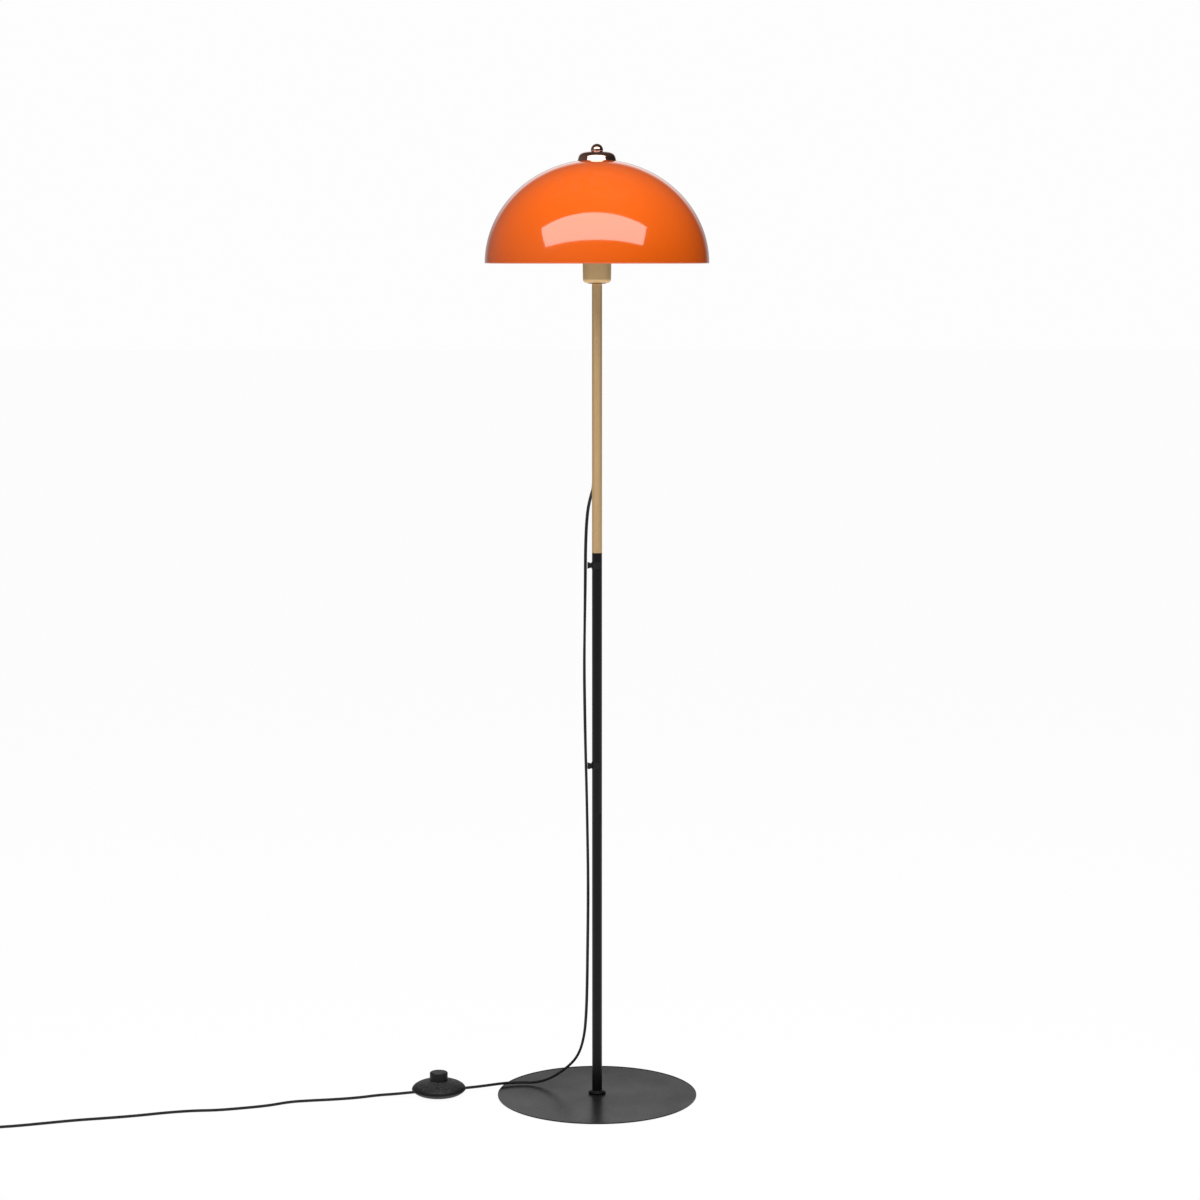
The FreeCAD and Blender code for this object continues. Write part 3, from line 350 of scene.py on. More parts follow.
def calculate(tree, operation, a, b=None):
    node = addNode(tree, "ShaderNodeMath", operation=operation)
    feed(tree, node.inputs[0], a)
    feed(tree, node.inputs[1], b)
    return node.outputs[0]


def spreadOver(tree, value, start, end, low=0.0, high=1.0):
    node = addNode(tree, "ShaderNodeMapRange")
    labels = ("Value", "From Min", "From Max", "To Min", "To Max")
    for label, number in zip(labels, (value, start, end, low, high)):
        feed(tree, node.inputs[label], number)
    return node.outputs["Result"]


def mixLevels(tree, factor, low, high):
    node = addNode(tree, "ShaderNodeMix", data_type="FLOAT")
    for index, value in ((0, factor), (2, low), (3, high)):
        feed(tree, node.inputs[index], value)
    return node.outputs[0]


def mixColours(tree, factor, low, high):
    node = addNode(tree, "ShaderNodeMix", data_type="RGBA")
    for index, value in ((0, factor), (6, low), (7, high)):
        feed(tree, node.inputs[index], (*value, 1) if isinstance(value, tuple) else value)
    return node.outputs[2]


def noise(tree, place, scale, detail, roughness=0.5):
    node = addNode(tree, "ShaderNodeTexNoise")
    labels = ("Vector", "Scale", "Detail", "Roughness")
    for label, value in zip(labels, (place, scale, detail, roughness)):
        feed(tree, node.inputs[label], value)
    return node.outputs["Fac"]


def newGroup(name, inputs, outputs):
    group = bpy.data.node_groups.new(name, "ShaderNodeTree")
    for label, value in inputs.items():
        kind = "NodeSocketVector" if isinstance(value, tuple) else "NodeSocketFloat"
        group.interface.new_socket(label, in_out="INPUT", socket_type=kind).default_value = value
    for label in outputs:
        group.interface.new_socket(label, in_out="OUTPUT", socket_type="NodeSocketFloat")
    return group, addNode(group, "NodeGroupInput").outputs, addNode(group, "NodeGroupOutput").inputs


# Effects that several finishes share

# Detail and roughness of each noise, and the spans of values that are spread out
texture = {
    "cloud": (3.0, 0.55),
    "grain": (2.0, 0.6),
    "lines": (4.0, 0.65),
    "dustAndSheen": (6.0, 0.7),
    "middle": (0.3, 0.7),
    "dustAndSheenPatch": (0.42, 0.75),
    "facingUp": (0.5, 1.0),
}


# Two sizes of noise: cloudy wear and a fine grain
def makeGrainGroup():
    group, given, result = newGroup(
        "finishGrain", {"Cloud Scale": 9.0, "Grain Scale": 900.0, "Low": 0.3, "High": 0.45},
        ["Cloud", "Grain", "Roughness"])
    place = addNode(group, "ShaderNodeTexCoord").outputs["Object"]
    cloud = noise(group, place, given["Cloud Scale"], *texture["cloud"])
    feed(group, result["Cloud"], cloud)
    feed(group, result["Grain"], noise(group, place, given["Grain Scale"], *texture["grain"]))
    roughness = spreadOver(group, cloud, *texture["middle"], given["Low"], given["High"])
    feed(group, result["Roughness"], roughness)
    return group


# Fine lines drawn out along one direction
def makeBrushGroup():
    group, given, result = newGroup(
        "brushedLines", {"Stretch": (600.0, 600.0, 6.0), "Low": 0.3, "High": 0.45}, ["Lines", "Roughness"])
    stretch = addNode(group, "ShaderNodeVectorMath", operation="MULTIPLY")
    feed(group, stretch.inputs[0], addNode(group, "ShaderNodeTexCoord").outputs["Object"])
    feed(group, stretch.inputs[1], given["Stretch"])
    lines = noise(group, stretch.outputs["Vector"], 1.0, *texture["lines"])
    feed(group, result["Lines"], lines)
    roughness = spreadOver(group, lines, *texture["middle"], given["Low"], given["High"])
    feed(group, result["Roughness"], roughness)
    return group


# Thin dust on what faces up, broken up by noise; on the black coats the same mask is also painted sheen
# that lightens their tops
def makeDustAndSheenGroup():
    group, given, result = newGroup("dustAndTopSheen", {"Amount": 0.1, "Scale": 60.0}, ["Mask"])
    split = addNode(group, "ShaderNodeSeparateXYZ")
    feed(group, split.inputs[0], addNode(group, "ShaderNodeNewGeometry").outputs["Normal"])
    facing = spreadOver(group, split.outputs["Z"], *texture["facingUp"])
    place = addNode(group, "ShaderNodeTexCoord").outputs["Object"]
    patch = spreadOver(group, noise(group, place, given["Scale"], *texture["dustAndSheen"]), *texture["dustAndSheenPatch"])
    both = calculate(group, "MULTIPLY", facing, patch)
    feed(group, result["Mask"], calculate(group, "MULTIPLY", both, given["Amount"]))
    return group


grainGroup = makeGrainGroup()
brushGroup = makeBrushGroup()
dustAndSheenGroup = makeDustAndSheenGroup()


def useGroup(tree, group, **values):
    node = addNode(tree, "ShaderNodeGroup", node_tree=group)
    for name, value in values.items():
        node.inputs[name.replace("_", " ")].default_value = value
    return node.outputs


def newMaterial(name, **values):
    material = bpy.data.materials.new(name)
    material.use_nodes = True
    tree = material.node_tree
    shader = tree.nodes["Principled BSDF"]
    for label, value in values.items():
        shader.inputs[label.replace("_", " ")].default_value = value
    return material, tree, shader


def addBump(tree, shader, height, strength, distance):
    bump = addNode(tree, "ShaderNodeBump")
    for label, value in (("Strength", strength), ("Distance", distance), ("Height", height)):
        feed(tree, bump.inputs[label], value)
    feed(tree, shader.inputs["Normal"], bump.outputs["Normal"])


# Finishes

lightDust = 0.04
warmDust = (0.75, 0.70, 0.64)
# grey laid on the black coats' tops: partly dust, partly painted sheen
greyDustAndSheen = (0.50, 0.49, 0.47)


def enamel(name, deep, bright, low, high, coat):
    material, tree, shader = newMaterial(name, Coat_Weight=coat, Coat_Roughness=0.03, IOR=1.5)
    grain = useGroup(tree, grainGroup, Cloud_Scale=7.0, Grain_Scale=420.0, Low=low, High=high)
    dustAndSheen = useGroup(tree, dustAndSheenGroup, Amount=lightDust, Scale=70.0)
    colour = mixColours(tree, grain["Cloud"], deep, bright)
    feed(tree, shader.inputs["Base Color"], mixColours(tree, dustAndSheen["Mask"], colour, warmDust))
    feed(tree, shader.inputs["Roughness"], grain["Roughness"])
    addBump(tree, shader, grain["Grain"], strength=0.05, distance=0.02 * mm)
    return material


def brushedMetal(name, dark, light, stretch, low, high):
    material, tree, shader = newMaterial(name, Metallic=1.0)
    brush = useGroup(tree, brushGroup, Stretch=stretch, Low=low, High=high)
    feed(tree, shader.inputs["Base Color"], mixColours(tree, brush["Lines"], dark, light))
    feed(tree, shader.inputs["Roughness"], brush["Roughness"])
    addBump(tree, shader, brush["Lines"], strength=0.25, distance=0.02 * mm)
    return material


def polishedMetal(name, dark, light, low, high):
    material, tree, shader = newMaterial(name, Metallic=1.0)
    grain = useGroup(tree, grainGroup, Cloud_Scale=25.0, Grain_Scale=1500.0, Low=low, High=high)
    feed(tree, shader.inputs["Base Color"], mixColours(tree, grain["Cloud"], dark, light))
    feed(tree, shader.inputs["Roughness"], grain["Roughness"])
    return material


def darkCoat(name, dark, light, low, high, grain, bump, specular=0.5, dustAndSheen=lightDust):
    material, tree, shader = newMaterial(name, IOR=1.5, Specular_IOR_Level=specular)
    surface = useGroup(tree, grainGroup, Cloud_Scale=11.0, Grain_Scale=grain, Low=low, High=high)
    topDustAndSheen = useGroup(tree, dustAndSheenGroup, Amount=dustAndSheen, Scale=520.0)
    colour = mixColours(tree, surface["Grain"], dark, light)
    # painted sheen as well as dust: the mask lightens the up-facing tops where reflected light would shine
    feed(tree, shader.inputs["Base Color"], mixColours(tree, topDustAndSheen["Mask"], colour, greyDustAndSheen))
    feed(tree, shader.inputs["Roughness"], surface["Roughness"])
    addBump(tree, shader, surface["Grain"], strength=bump, distance=0.05 * mm)
    return material


def flexJacket():
    material, tree, shader = newMaterial("flexJacket", IOR=1.45)
    wear = noise(tree, addNode(tree, "ShaderNodeTexCoord").outputs["UV"], scale=0.9, detail=3.0)
    feed(tree, shader.inputs["Base Color"],
         mixColours(tree, wear, (0.006, 0.006, 0.006), (0.014, 0.014, 0.015)))
    feed(tree, shader.inputs["Roughness"], spreadOver(tree, wear, *texture["middle"], low=0.38, high=0.55))
    addBump(tree, shader, wear, strength=0.1, distance=0.05 * mm)
    return material


def opalGlass():
    material, tree, shader = newMaterial("opalGlass", IOR=1.45, Transmission_Weight=0.35)
    grain = useGroup(tree, grainGroup, Cloud_Scale=20.0, Grain_Scale=800.0, Low=0.35, High=0.5)
    feed(tree, shader.inputs["Base Color"],
         mixColours(tree, grain["Cloud"], (0.84, 0.84, 0.81), (0.90, 0.90, 0.87)))
    feed(tree, shader.inputs["Roughness"], grain["Roughness"])
    return material


finish = {
    "orange_enamel": enamel(
        "orangeEnamel", (0.84, 0.120, 0.004), (0.92, 0.134, 0.006), low=0.07, high=0.13, coat=1.0),
    "whiteEnamel": enamel(
        "whiteEnamel", (0.72, 0.71, 0.68), (0.78, 0.77, 0.74), low=0.25, high=0.35, coat=0.3),
    "satin_brass": brushedMetal(
        "satinBrass", (0.72, 0.49, 0.25), (0.86, 0.60, 0.32), stretch=(700, 700, 5), low=0.42, high=0.54),
    # its raised dust amount is partly painted sheen on the foot's top
    "black_lacquer": darkCoat(
        "blackLacquer", (0.003, 0.003, 0.0035), (0.006, 0.006, 0.0065), low=0.28, high=0.36,
        grain=1300.0, bump=0.15, specular=0.22, dustAndSheen=0.12),
    "rose_chrome": polishedMetal(
        "roseChrome", (0.74, 0.40, 0.31), (0.84, 0.48, 0.38), low=0.05, high=0.10),
    "zinc_steel": brushedMetal(
        "zincSteel", (0.42, 0.42, 0.42), (0.60, 0.60, 0.59), stretch=(300, 300, 300), low=0.3, high=0.45),
    "contact_brass": polishedMetal(
        "contactBrass", (0.55, 0.40, 0.18), (0.70, 0.52, 0.25), low=0.2, high=0.35),
    "holder_plastic": darkCoat(
        "holderPlastic", (0.012, 0.012, 0.012), (0.022, 0.022, 0.022), low=0.35, high=0.5,
        grain=1600.0, bump=0.2),
    "contact_ceramic": enamel(
        "steatite", (0.66, 0.64, 0.58), (0.74, 0.72, 0.66), low=0.3, high=0.4, coat=0.2),
    "opal_glass": opalGlass(),
    "lamp_cap_metal": brushedMetal(
        "lampCapMetal", (0.5, 0.5, 0.5), (0.66, 0.66, 0.66), stretch=(200, 200, 900), low=0.2, high=0.35),
    "foot_rubber": darkCoat(
        "footRubber", (0.012, 0.012, 0.012), (0.03, 0.03, 0.03), low=0.7, high=0.85,
        grain=900.0, bump=0.3, specular=0.3),
    # its high dust amount is partly painted sheen on the switch's top
    "black_plastic": darkCoat(
        "blackPlastic", (0.006, 0.006, 0.007), (0.014, 0.014, 0.015), low=0.42, high=0.55,
        grain=2200.0, bump=0.35, specular=0.3, dustAndSheen=0.35),
    "spring_steel": polishedMetal(
        "springSteel", (0.4, 0.4, 0.41), (0.55, 0.55, 0.56), low=0.2, high=0.3),
    "flex_jacket": flexJacket(),
    "pin_nickel": polishedMetal(
        "pinNickel", (0.55, 0.53, 0.49), (0.68, 0.66, 0.61), low=0.12, high=0.25),
}


def giveFinish(piece, *names):
    piece.data.materials.clear()
    for name in names:
        piece.data.materials.append(finish[name])


giveFinish(cordUpper, "flex_jacket")
giveFinish(cordLower, "flex_jacket")
print("finishes ready")


# Geometry trees

# A tree with named sizes
def newTree(name, sizes, counts=(), takesMesh=False):
    tree = bpy.data.node_groups.new(name, "GeometryNodeTree")
    labels = [("Mesh", "Geometry")] * takesMesh
    labels += [(size, "Float") for size in sizes] + [(count, "Int") for count in counts]
    for label, kind in labels:
        tree.interface.new_socket(label, in_out="INPUT", socket_type="NodeSocket" + kind)
    tree.interface.new_socket("Geometry", in_out="OUTPUT", socket_type="NodeSocketGeometry")
    return tree, addNode(tree, "NodeGroupInput").outputs


# The end of every piece's tree: plain geometry with its finish
def endTree(tree, geometry, material):
    smooth = addNode(tree, "GeometryNodeSetShadeSmooth")
    feed(tree, smooth.inputs["Geometry"], geometry)
    real = addNode(tree, "GeometryNodeRealizeInstances")
    feed(tree, real.inputs[0], smooth.outputs[0])
    coat = addNode(tree, "GeometryNodeSetMaterial")
    feed(tree, coat.inputs["Geometry"], real.outputs[0])
    coat.inputs["Material"].default_value = material
    feed(tree, addNode(tree, "NodeGroupOutput").inputs[0], coat.outputs[0])


# Runs a tree on a piece and keeps what it makes as the piece's plain mesh
def growMesh(piece, tree, **values):
    grow = piece.modifiers.new(tree.name, "NODES")
    grow.node_group = tree
    for item in tree.interface.items_tree:
        if item.in_out == "INPUT" and item.name.replace(" ", "_") in values:
            grow[item.identifier] = values[item.name.replace(" ", "_")]
    depsgraph = bpy.context.evaluated_depsgraph_get()
    mesh = bpy.data.meshes.new_from_object(piece.evaluated_get(depsgraph))
    piece.modifiers.clear()
    piece.data = mesh
    return mesh


# The CAD nodes that stay: their faces are joined and shaded smooth, with crisp edges

cadFaces = {"sharpAngle": 30, "weld": 0.002 * mm}


def makeSmoothTree():
    tree = bpy.data.node_groups.new("smoothFaces", "GeometryNodeTree")
    tree.interface.new_socket("Geometry", in_out="INPUT", socket_type="NodeSocketGeometry")
    angle = tree.interface.new_socket("Sharp Angle", in_out="INPUT", socket_type="NodeSocketFloat")
    angle.default_value = math.radians(cadFaces["sharpAngle"])
    tree.interface.new_socket("Geometry", in_out="OUTPUT", socket_type="NodeSocketGeometry")
    given = addNode(tree, "NodeGroupInput").outputs
    weld = addNode(tree, "GeometryNodeMergeByDistance")
    feed(tree, weld.inputs["Geometry"], given["Geometry"])
    feed(tree, weld.inputs["Distance"], cadFaces["weld"])
    smooth = addNode(tree, "GeometryNodeSetShadeSmooth", domain="FACE")
    feed(tree, smooth.inputs["Geometry"], weld.outputs["Geometry"])
    sharper = addNode(tree, "FunctionNodeCompare", operation="GREATER_THAN")
    edgeAngle = addNode(tree, "GeometryNodeInputMeshEdgeAngle").outputs["Unsigned Angle"]
    feed(tree, sharper.inputs["A"], edgeAngle)
    feed(tree, sharper.inputs["B"], given["Sharp Angle"])
    crisp = addNode(tree, "GeometryNodeSetShadeSmooth", domain="EDGE")
    feed(tree, crisp.inputs["Geometry"], smooth.outputs["Geometry"])
    feed(tree, crisp.inputs["Selection"], sharper.outputs["Result"])
    feed(tree, crisp.inputs["Shade Smooth"], False)
    feed(tree, addNode(tree, "NodeGroupOutput").inputs["Geometry"], crisp.outputs["Geometry"])
    return tree


def dressFrame():
    smoothTree = makeSmoothTree()
    slots = {s["node"]: s["material_slot"] for s in frame["record"]["subparts"]}
    for name, node in frame["nodes"].items():
        giveFinish(node, slots[name])
        node.modifiers.new("smoothFaces", "NODES").node_group = smoothTree


dressFrame()
print("frame dressed")


# Helpers for turned pieces

onAxis = 1e-7                   # metres from the axis, under which a ring is one corner


def turnedPiece(name, profile, segments):
    shape = bmesh.new()
    rings = []
    for radius, level in profile:
        if radius < onAxis:
            rings.append([shape.verts.new((0, 0, level))] * segments)
            continue
        rings.append([
            shape.verts.new(heading(360 * i / segments) * radius + up * level) for i in range(segments)
        ])
    for near, far in zip(rings, rings[1:] + rings[:1]):
        for i in range(segments):
            corners = [near[i], near[(i + 1) % segments], far[(i + 1) % segments], far[i]]
            corners = [c for k, c in enumerate(corners) if c not in corners[:k]]
            if len(corners) > 2:
                shape.faces.new(corners)
    bmesh.ops.recalc_face_normals(shape, faces=shape.faces)
    mesh = bpy.data.meshes.new(name)
    shape.to_mesh(mesh)
    shape.free()
    sharpenByAngle(mesh)
    return addObject(name, mesh)


# Corners of (radius, level) or (radius, level, rounding), in millimetres, as a smooth outline
def outline(corners, steps=6):
    points = []
    for i, corner in enumerate(corners):
        here = Vector(corner[:2]) * mm
        if len(corner) == 2:
            points.append(tuple(here))
            continue
        rounding = corner[2] * mm
        before = Vector(corners[i - 1][:2]) * mm
        after = Vector(corners[(i + 1) % len(corners)][:2]) * mm
        come, go = (here - before).normalized(), (after - here).normalized()
        turn = come.angle(go)
        reach = rounding * math.tan(turn / 2)
        inward = (go - come).normalized()
        middle = here + inward * (rounding / math.cos(turn / 2))
        start = here - come * reach - middle
        side = 1 if start.x * go.y - start.y * go.x > 0 else -1
        first = math.atan2(start.y, start.x)
        for k in range(steps + 1):
            a = first + side * turn * k / steps
            points.append((middle.x + math.cos(a) * rounding, middle.y + math.sin(a) * rounding))
    return points


def standFor(piece, body, slot, *nodes):
    giveFinish(piece, slot)
    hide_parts(*nodes)
    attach(piece, body)


# Shade

shade = {
    "radius": 175 * mm,
    "height": 161 * mm,
    "wall": 0.8 * mm,
    "crownRadius": 20 * mm,
    "hole": 3.35 * mm,
    "crownShare": 0.05,         # of the rings lie on the flat crown
    "segments": 256,
    "rings": 96,
    "weld": 0.01 * mm,
    "rimRound": 0.3 * mm,
    "rimSteps": 2,
    "rimAngle": 60,
}


def makeDomeTree():
    sizes = ("Radius", "Height", "Crown Radius", "Hole Radius", "Level", "Crown Share")
    tree, given = newTree("domeSurface", sizes, ("Segments", "Rings"))

    def sums(operation, a, b=None):
        return calculate(tree, operation, a, b)

    grid = addNode(tree, "GeometryNodeMeshGrid")
    feed(tree, grid.inputs["Vertices X"], sums("ADD", given["Segments"], 1))
    feed(tree, grid.inputs["Vertices Y"], sums("ADD", given["Rings"], 1))
    split = addNode(tree, "ShaderNodeSeparateXYZ")
    feed(tree, split.inputs[0], addNode(tree, "GeometryNodeInputPosition").outputs[0])
    turn = sums("MULTIPLY", sums("ADD", split.outputs["X"], 0.5), 2 * math.pi)
    climb = sums("ADD", split.outputs["Y"], 0.5)
    domeShare = sums("SUBTRACT", 1, given["Crown Share"])
    domePart = sums("MINIMUM", sums("DIVIDE", climb, domeShare), 1)
    crownPart = sums("MAXIMUM", sums("DIVIDE", sums("SUBTRACT", climb, domeShare), given["Crown Share"]), 0)
    last = sums("ARCCOSINE", sums("DIVIDE", given["Crown Radius"], given["Radius"]))
    angle = sums("MULTIPLY", domePart, last)
    inwards = sums("MULTIPLY", crownPart, sums("SUBTRACT", given["Crown Radius"], given["Hole Radius"]))
    radius = sums("SUBTRACT", sums("MULTIPLY", given["Radius"], sums("COSINE", angle)), inwards)
    level = sums("ADD", sums("MULTIPLY", given["Height"], sums("SINE", angle)), given["Level"])
    joined = addNode(tree, "ShaderNodeCombineXYZ")
    feed(tree, joined.inputs["X"], sums("MULTIPLY", radius, sums("COSINE", turn)))
    feed(tree, joined.inputs["Y"], sums("MULTIPLY", radius, sums("SINE", turn)))
    feed(tree, joined.inputs["Z"], level)
    bend = addNode(tree, "GeometryNodeSetPosition")
    feed(tree, bend.inputs["Geometry"], grid.outputs["Mesh"])
    feed(tree, bend.inputs["Position"], joined.outputs[0])
    weld = addNode(tree, "GeometryNodeMergeByDistance")
    feed(tree, weld.inputs["Geometry"], bend.outputs[0])
    feed(tree, weld.inputs["Distance"], shade["weld"])
    endTree(tree, weld.outputs[0], finish["orange_enamel"])
    return tree


def makeShade():
    piece = addObject("shadeDome", bpy.data.meshes.new("shadeDome"))
    mesh = growMesh(
        piece, makeDomeTree(), Radius=shade["radius"], Height=shade["height"],
        Crown_Radius=shade["crownRadius"], Hole_Radius=shade["hole"], Level=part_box("shade")[0].z,
        Crown_Share=shade["crownShare"], Segments=shade["segments"], Rings=shade["rings"])
    shape = bmesh.new()
    shape.from_mesh(mesh)
    top = max(shape.faces, key=lambda f: f.calc_center_median().z)
    if top.normal.z < 0:
        bmesh.ops.reverse_faces(shape, faces=shape.faces)
    shape.to_mesh(mesh)
    shape.free()
    mesh.materials.clear()
    mesh.materials.append(finish["orange_enamel"])
    mesh.materials.append(finish["whiteEnamel"])
    wall = piece.modifiers.new("wall", "SOLIDIFY")
    wall.thickness = shade["wall"]
    wall.offset = -1
    wall.use_even_offset = True
    wall.material_offset = 1
    rim = piece.modifiers.new("rim", "BEVEL")
    rim.width = shade["rimRound"]
    rim.segments = shade["rimSteps"]
    rim.limit_method = "ANGLE"
    rim.angle_limit = math.radians(shade["rimAngle"])
    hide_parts("shade")
    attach(piece, "shade")


makeShade()
print("shade ready")


# Cap and ball nut

crown = {
    "radius": 30, "height": 14, "wall": 1, "fullness": 3.4, "lean": 4.3, "hole": 3.35,
    "steps": 44, "segments": 160,
}
ballNut = {"radius": 9.5, "rise": 2.5, "bore": 3.06, "depth": 9.1, "steps": 32, "segments": 96}


# The side leans in from the base to the shoulder, most at half its height
def bellOutline(radius, height, level):
    power = 2 / crown["fullness"]
    last = math.acos((crown["hole"] / radius) ** (1 / power))
    points = []
    for i in range(crown["steps"] + 1):
        a = last * i / crown["steps"]
        climb = math.sin(a) ** power
        side = radius * math.cos(a) ** power - crown["lean"] * climb * (1 - climb)
        points.append((side * mm, level + height * climb * mm))
    return points


def makeCapAndNut():
    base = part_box("shade_cap")[0].z
    outside = bellOutline(crown["radius"], crown["height"], base)
    inside = bellOutline(crown["radius"] - crown["wall"], crown["height"] - crown["wall"], base)
    cap = turnedPiece("capBell", outside + inside[::-1], crown["segments"])
    standFor(cap, "shade", "rose_chrome", "shade_cap")
    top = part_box("shade_cap")[1].z
    radius = ballNut["radius"] * mm
    middle = top + ballNut["rise"] * mm
    first = -math.asin(ballNut["rise"] / ballNut["radius"])
    steps = ballNut["steps"]
    ball = []
    for i in range(steps + 1):
        a = first + (math.pi / 2 - first) * i / steps
        ball.append((max(radius * math.cos(a), 0), middle + radius * math.sin(a)))
    bore, end = ballNut["bore"] * mm, top + ballNut["depth"] * mm
    nut = turnedPiece("ballNut", ball + [(0, end), (bore, end), (bore, top)], ballNut["segments"])
    standFor(nut, "shade", "rose_chrome", "finial")


makeCapAndNut()
print("cap and ball nut ready")


# Foot, its collar and the cup of the lampholder

turnedPieces = {
    "footDisc": {
        "node": "base_disc", "finish": "black_lacquer", "segments": 256, "roundSteps": 6,
        "corners": [(5.05, 4), (8.05, 1), (159.2, 1, 0.5), (160, 1.7, 0.4), (160, 4, 0.8)],
    },
    "footCollar": {
        "node": "foot_collar", "finish": "black_lacquer", "segments": 96, "roundSteps": 6,
        "corners": [(8.05, 4), (13.8, 4), (13.8, 7.2, 1.0), (9.65, 9.6, 0.6), (8.05, 9.6)],
    },
    "holderCup": {
        "node": "lampholder_cup", "finish": "satin_brass", "segments": 128, "roundSteps": 10,
        "corners": [
            (5.05, 1302), (23, 1302, 7), (23, 1348, 0.3), (22, 1348, 0.3), (22, 1303, 6), (5.05, 1303),
        ],
    },
}


def makeTurnedPieces():
    for name, facts in turnedPieces.items():
        profile = outline(facts["corners"], facts["roundSteps"])
        piece = turnedPiece(name, profile, facts["segments"])
        standFor(piece, "root", facts["finish"], facts["node"])


makeTurnedPieces()
print("foot, collar and cup ready")


# What repeats: the pads under the foot, the grips round the holder's ring and the turns of the spring

pads = {
    "count": 6, "circle": 137, "radius": 9, "thickness": 1, "edge": 0.25, "edgeSteps": 2, "segments": 48,
}
gripRing = {
    "outside": 27, "inside": 19.85, "height": 8, "corner": 2, "edge": 0.3, "crispAngle": 40,
    "grips": 30, "depth": 0.7, "band": 1.2, "segments": 360,
    "wave": (-1, 0.4),          # of the cosine, from which a grip goes from nothing to its depth
}
buttonSpring = {
    "diameter": 11, "wire": 0.9, "turns": 5, "stepsPerTurn": 40, "wireSides": 12, "crispAngle": 50,
    "travel": 3.5,
}


def makePadTree():
    tree, given = newTree("padsRoundFoot", ("Circle", "Radius", "Thickness"), ("Count", "Segments"))
    ring = addNode(tree, "GeometryNodeMeshCircle")
    feed(tree, ring.inputs["Vertices"], given["Count"])
    feed(tree, ring.inputs["Radius"], given["Circle"])
    pad = addNode(tree, "GeometryNodeMeshCylinder")
    feed(tree, pad.inputs["Vertices"], given["Segments"])
    feed(tree, pad.inputs["Radius"], given["Radius"])
    feed(tree, pad.inputs["Depth"], given["Thickness"])
    place = addNode(tree, "GeometryNodeInstanceOnPoints")
    feed(tree, place.inputs["Points"], ring.outputs["Mesh"])
    feed(tree, place.inputs["Instance"], pad.outputs["Mesh"])
    lift = addNode(tree, "GeometryNodeTranslateInstances")
    offset = addNode(tree, "ShaderNodeCombineXYZ")
    feed(tree, offset.inputs["Z"], calculate(tree, "MULTIPLY", given["Thickness"], 0.5))
    feed(tree, lift.inputs["Instances"], place.outputs["Instances"])
    feed(tree, lift.inputs["Translation"], offset.outputs[0])
    endTree(tree, lift.outputs[0], finish["foot_rubber"])
    return tree


def makePads():
    piece = addObject("footPads", bpy.data.meshes.new("footPads"))
    mesh = growMesh(piece, makePadTree(), Circle=pads["circle"] * mm, Radius=pads["radius"] * mm,
                    Thickness=pads["thickness"] * mm, Count=pads["count"], Segments=pads["segments"])
    sharpenByAngle(mesh)
    edge = piece.modifiers.new("edge", "BEVEL")
    edge.width = pads["edge"] * mm
    edge.segments = pads["edgeSteps"]
    edge.limit_method = "ANGLE"
    standFor(piece, "root", "foot_rubber", "base_pads")


def makeGripTree():
    tree, given = newTree("gripsRoundRing", ("Outside", "Band", "Depth", "Grips"), takesMesh=True)
    split = addNode(tree, "ShaderNodeSeparateXYZ")
    feed(tree, split.inputs[0], addNode(tree, "GeometryNodeInputPosition").outputs[0])
    x, y, z = (split.outputs[axis] for axis in "XYZ")
    squares = calculate(tree, "ADD", calculate(tree, "MULTIPLY", x, x), calculate(tree, "MULTIPLY", y, y))
    radius = calculate(tree, "SQRT", squares)
    turn = calculate(tree, "MULTIPLY", calculate(tree, "ARCTAN2", y, x), given["Grips"])
    wave = spreadOver(tree, calculate(tree, "COSINE", turn), *gripRing["wave"])
    bandStart = calculate(tree, "SUBTRACT", given["Outside"], given["Band"])
    band = spreadOver(tree, radius, bandStart, given["Outside"])
    cut = calculate(tree, "MULTIPLY", calculate(tree, "MULTIPLY", wave, band), given["Depth"])
    scale = calculate(tree, "SUBTRACT", 1, calculate(tree, "DIVIDE", cut, radius))
    joined = addNode(tree, "ShaderNodeCombineXYZ")
    feed(tree, joined.inputs["X"], calculate(tree, "MULTIPLY", x, scale))
    feed(tree, joined.inputs["Y"], calculate(tree, "MULTIPLY", y, scale))
    feed(tree, joined.inputs["Z"], z)
    press = addNode(tree, "GeometryNodeSetPosition")
    feed(tree, press.inputs["Geometry"], given["Mesh"])
    feed(tree, press.inputs["Position"], joined.outputs[0])
    endTree(tree, press.outputs[0], finish["holder_plastic"])
    return tree


def makeGripRing():
    r = gripRing
    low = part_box("shade_ring")[0].z / mm
    piece = turnedPiece("gripRing", outline([
        (r["inside"], low), (r["outside"], low, r["edge"]),
        (r["outside"], low + r["height"], r["corner"]), (r["inside"], low + r["height"]),
    ]), r["segments"])
    mesh = growMesh(piece, makeGripTree(), Outside=r["outside"] * mm, Band=r["band"] * mm,
                    Depth=r["depth"] * mm, Grips=float(r["grips"]))
    sharpenByAngle(mesh, r["crispAngle"])
    standFor(piece, "root", "holder_plastic", "shade_ring")


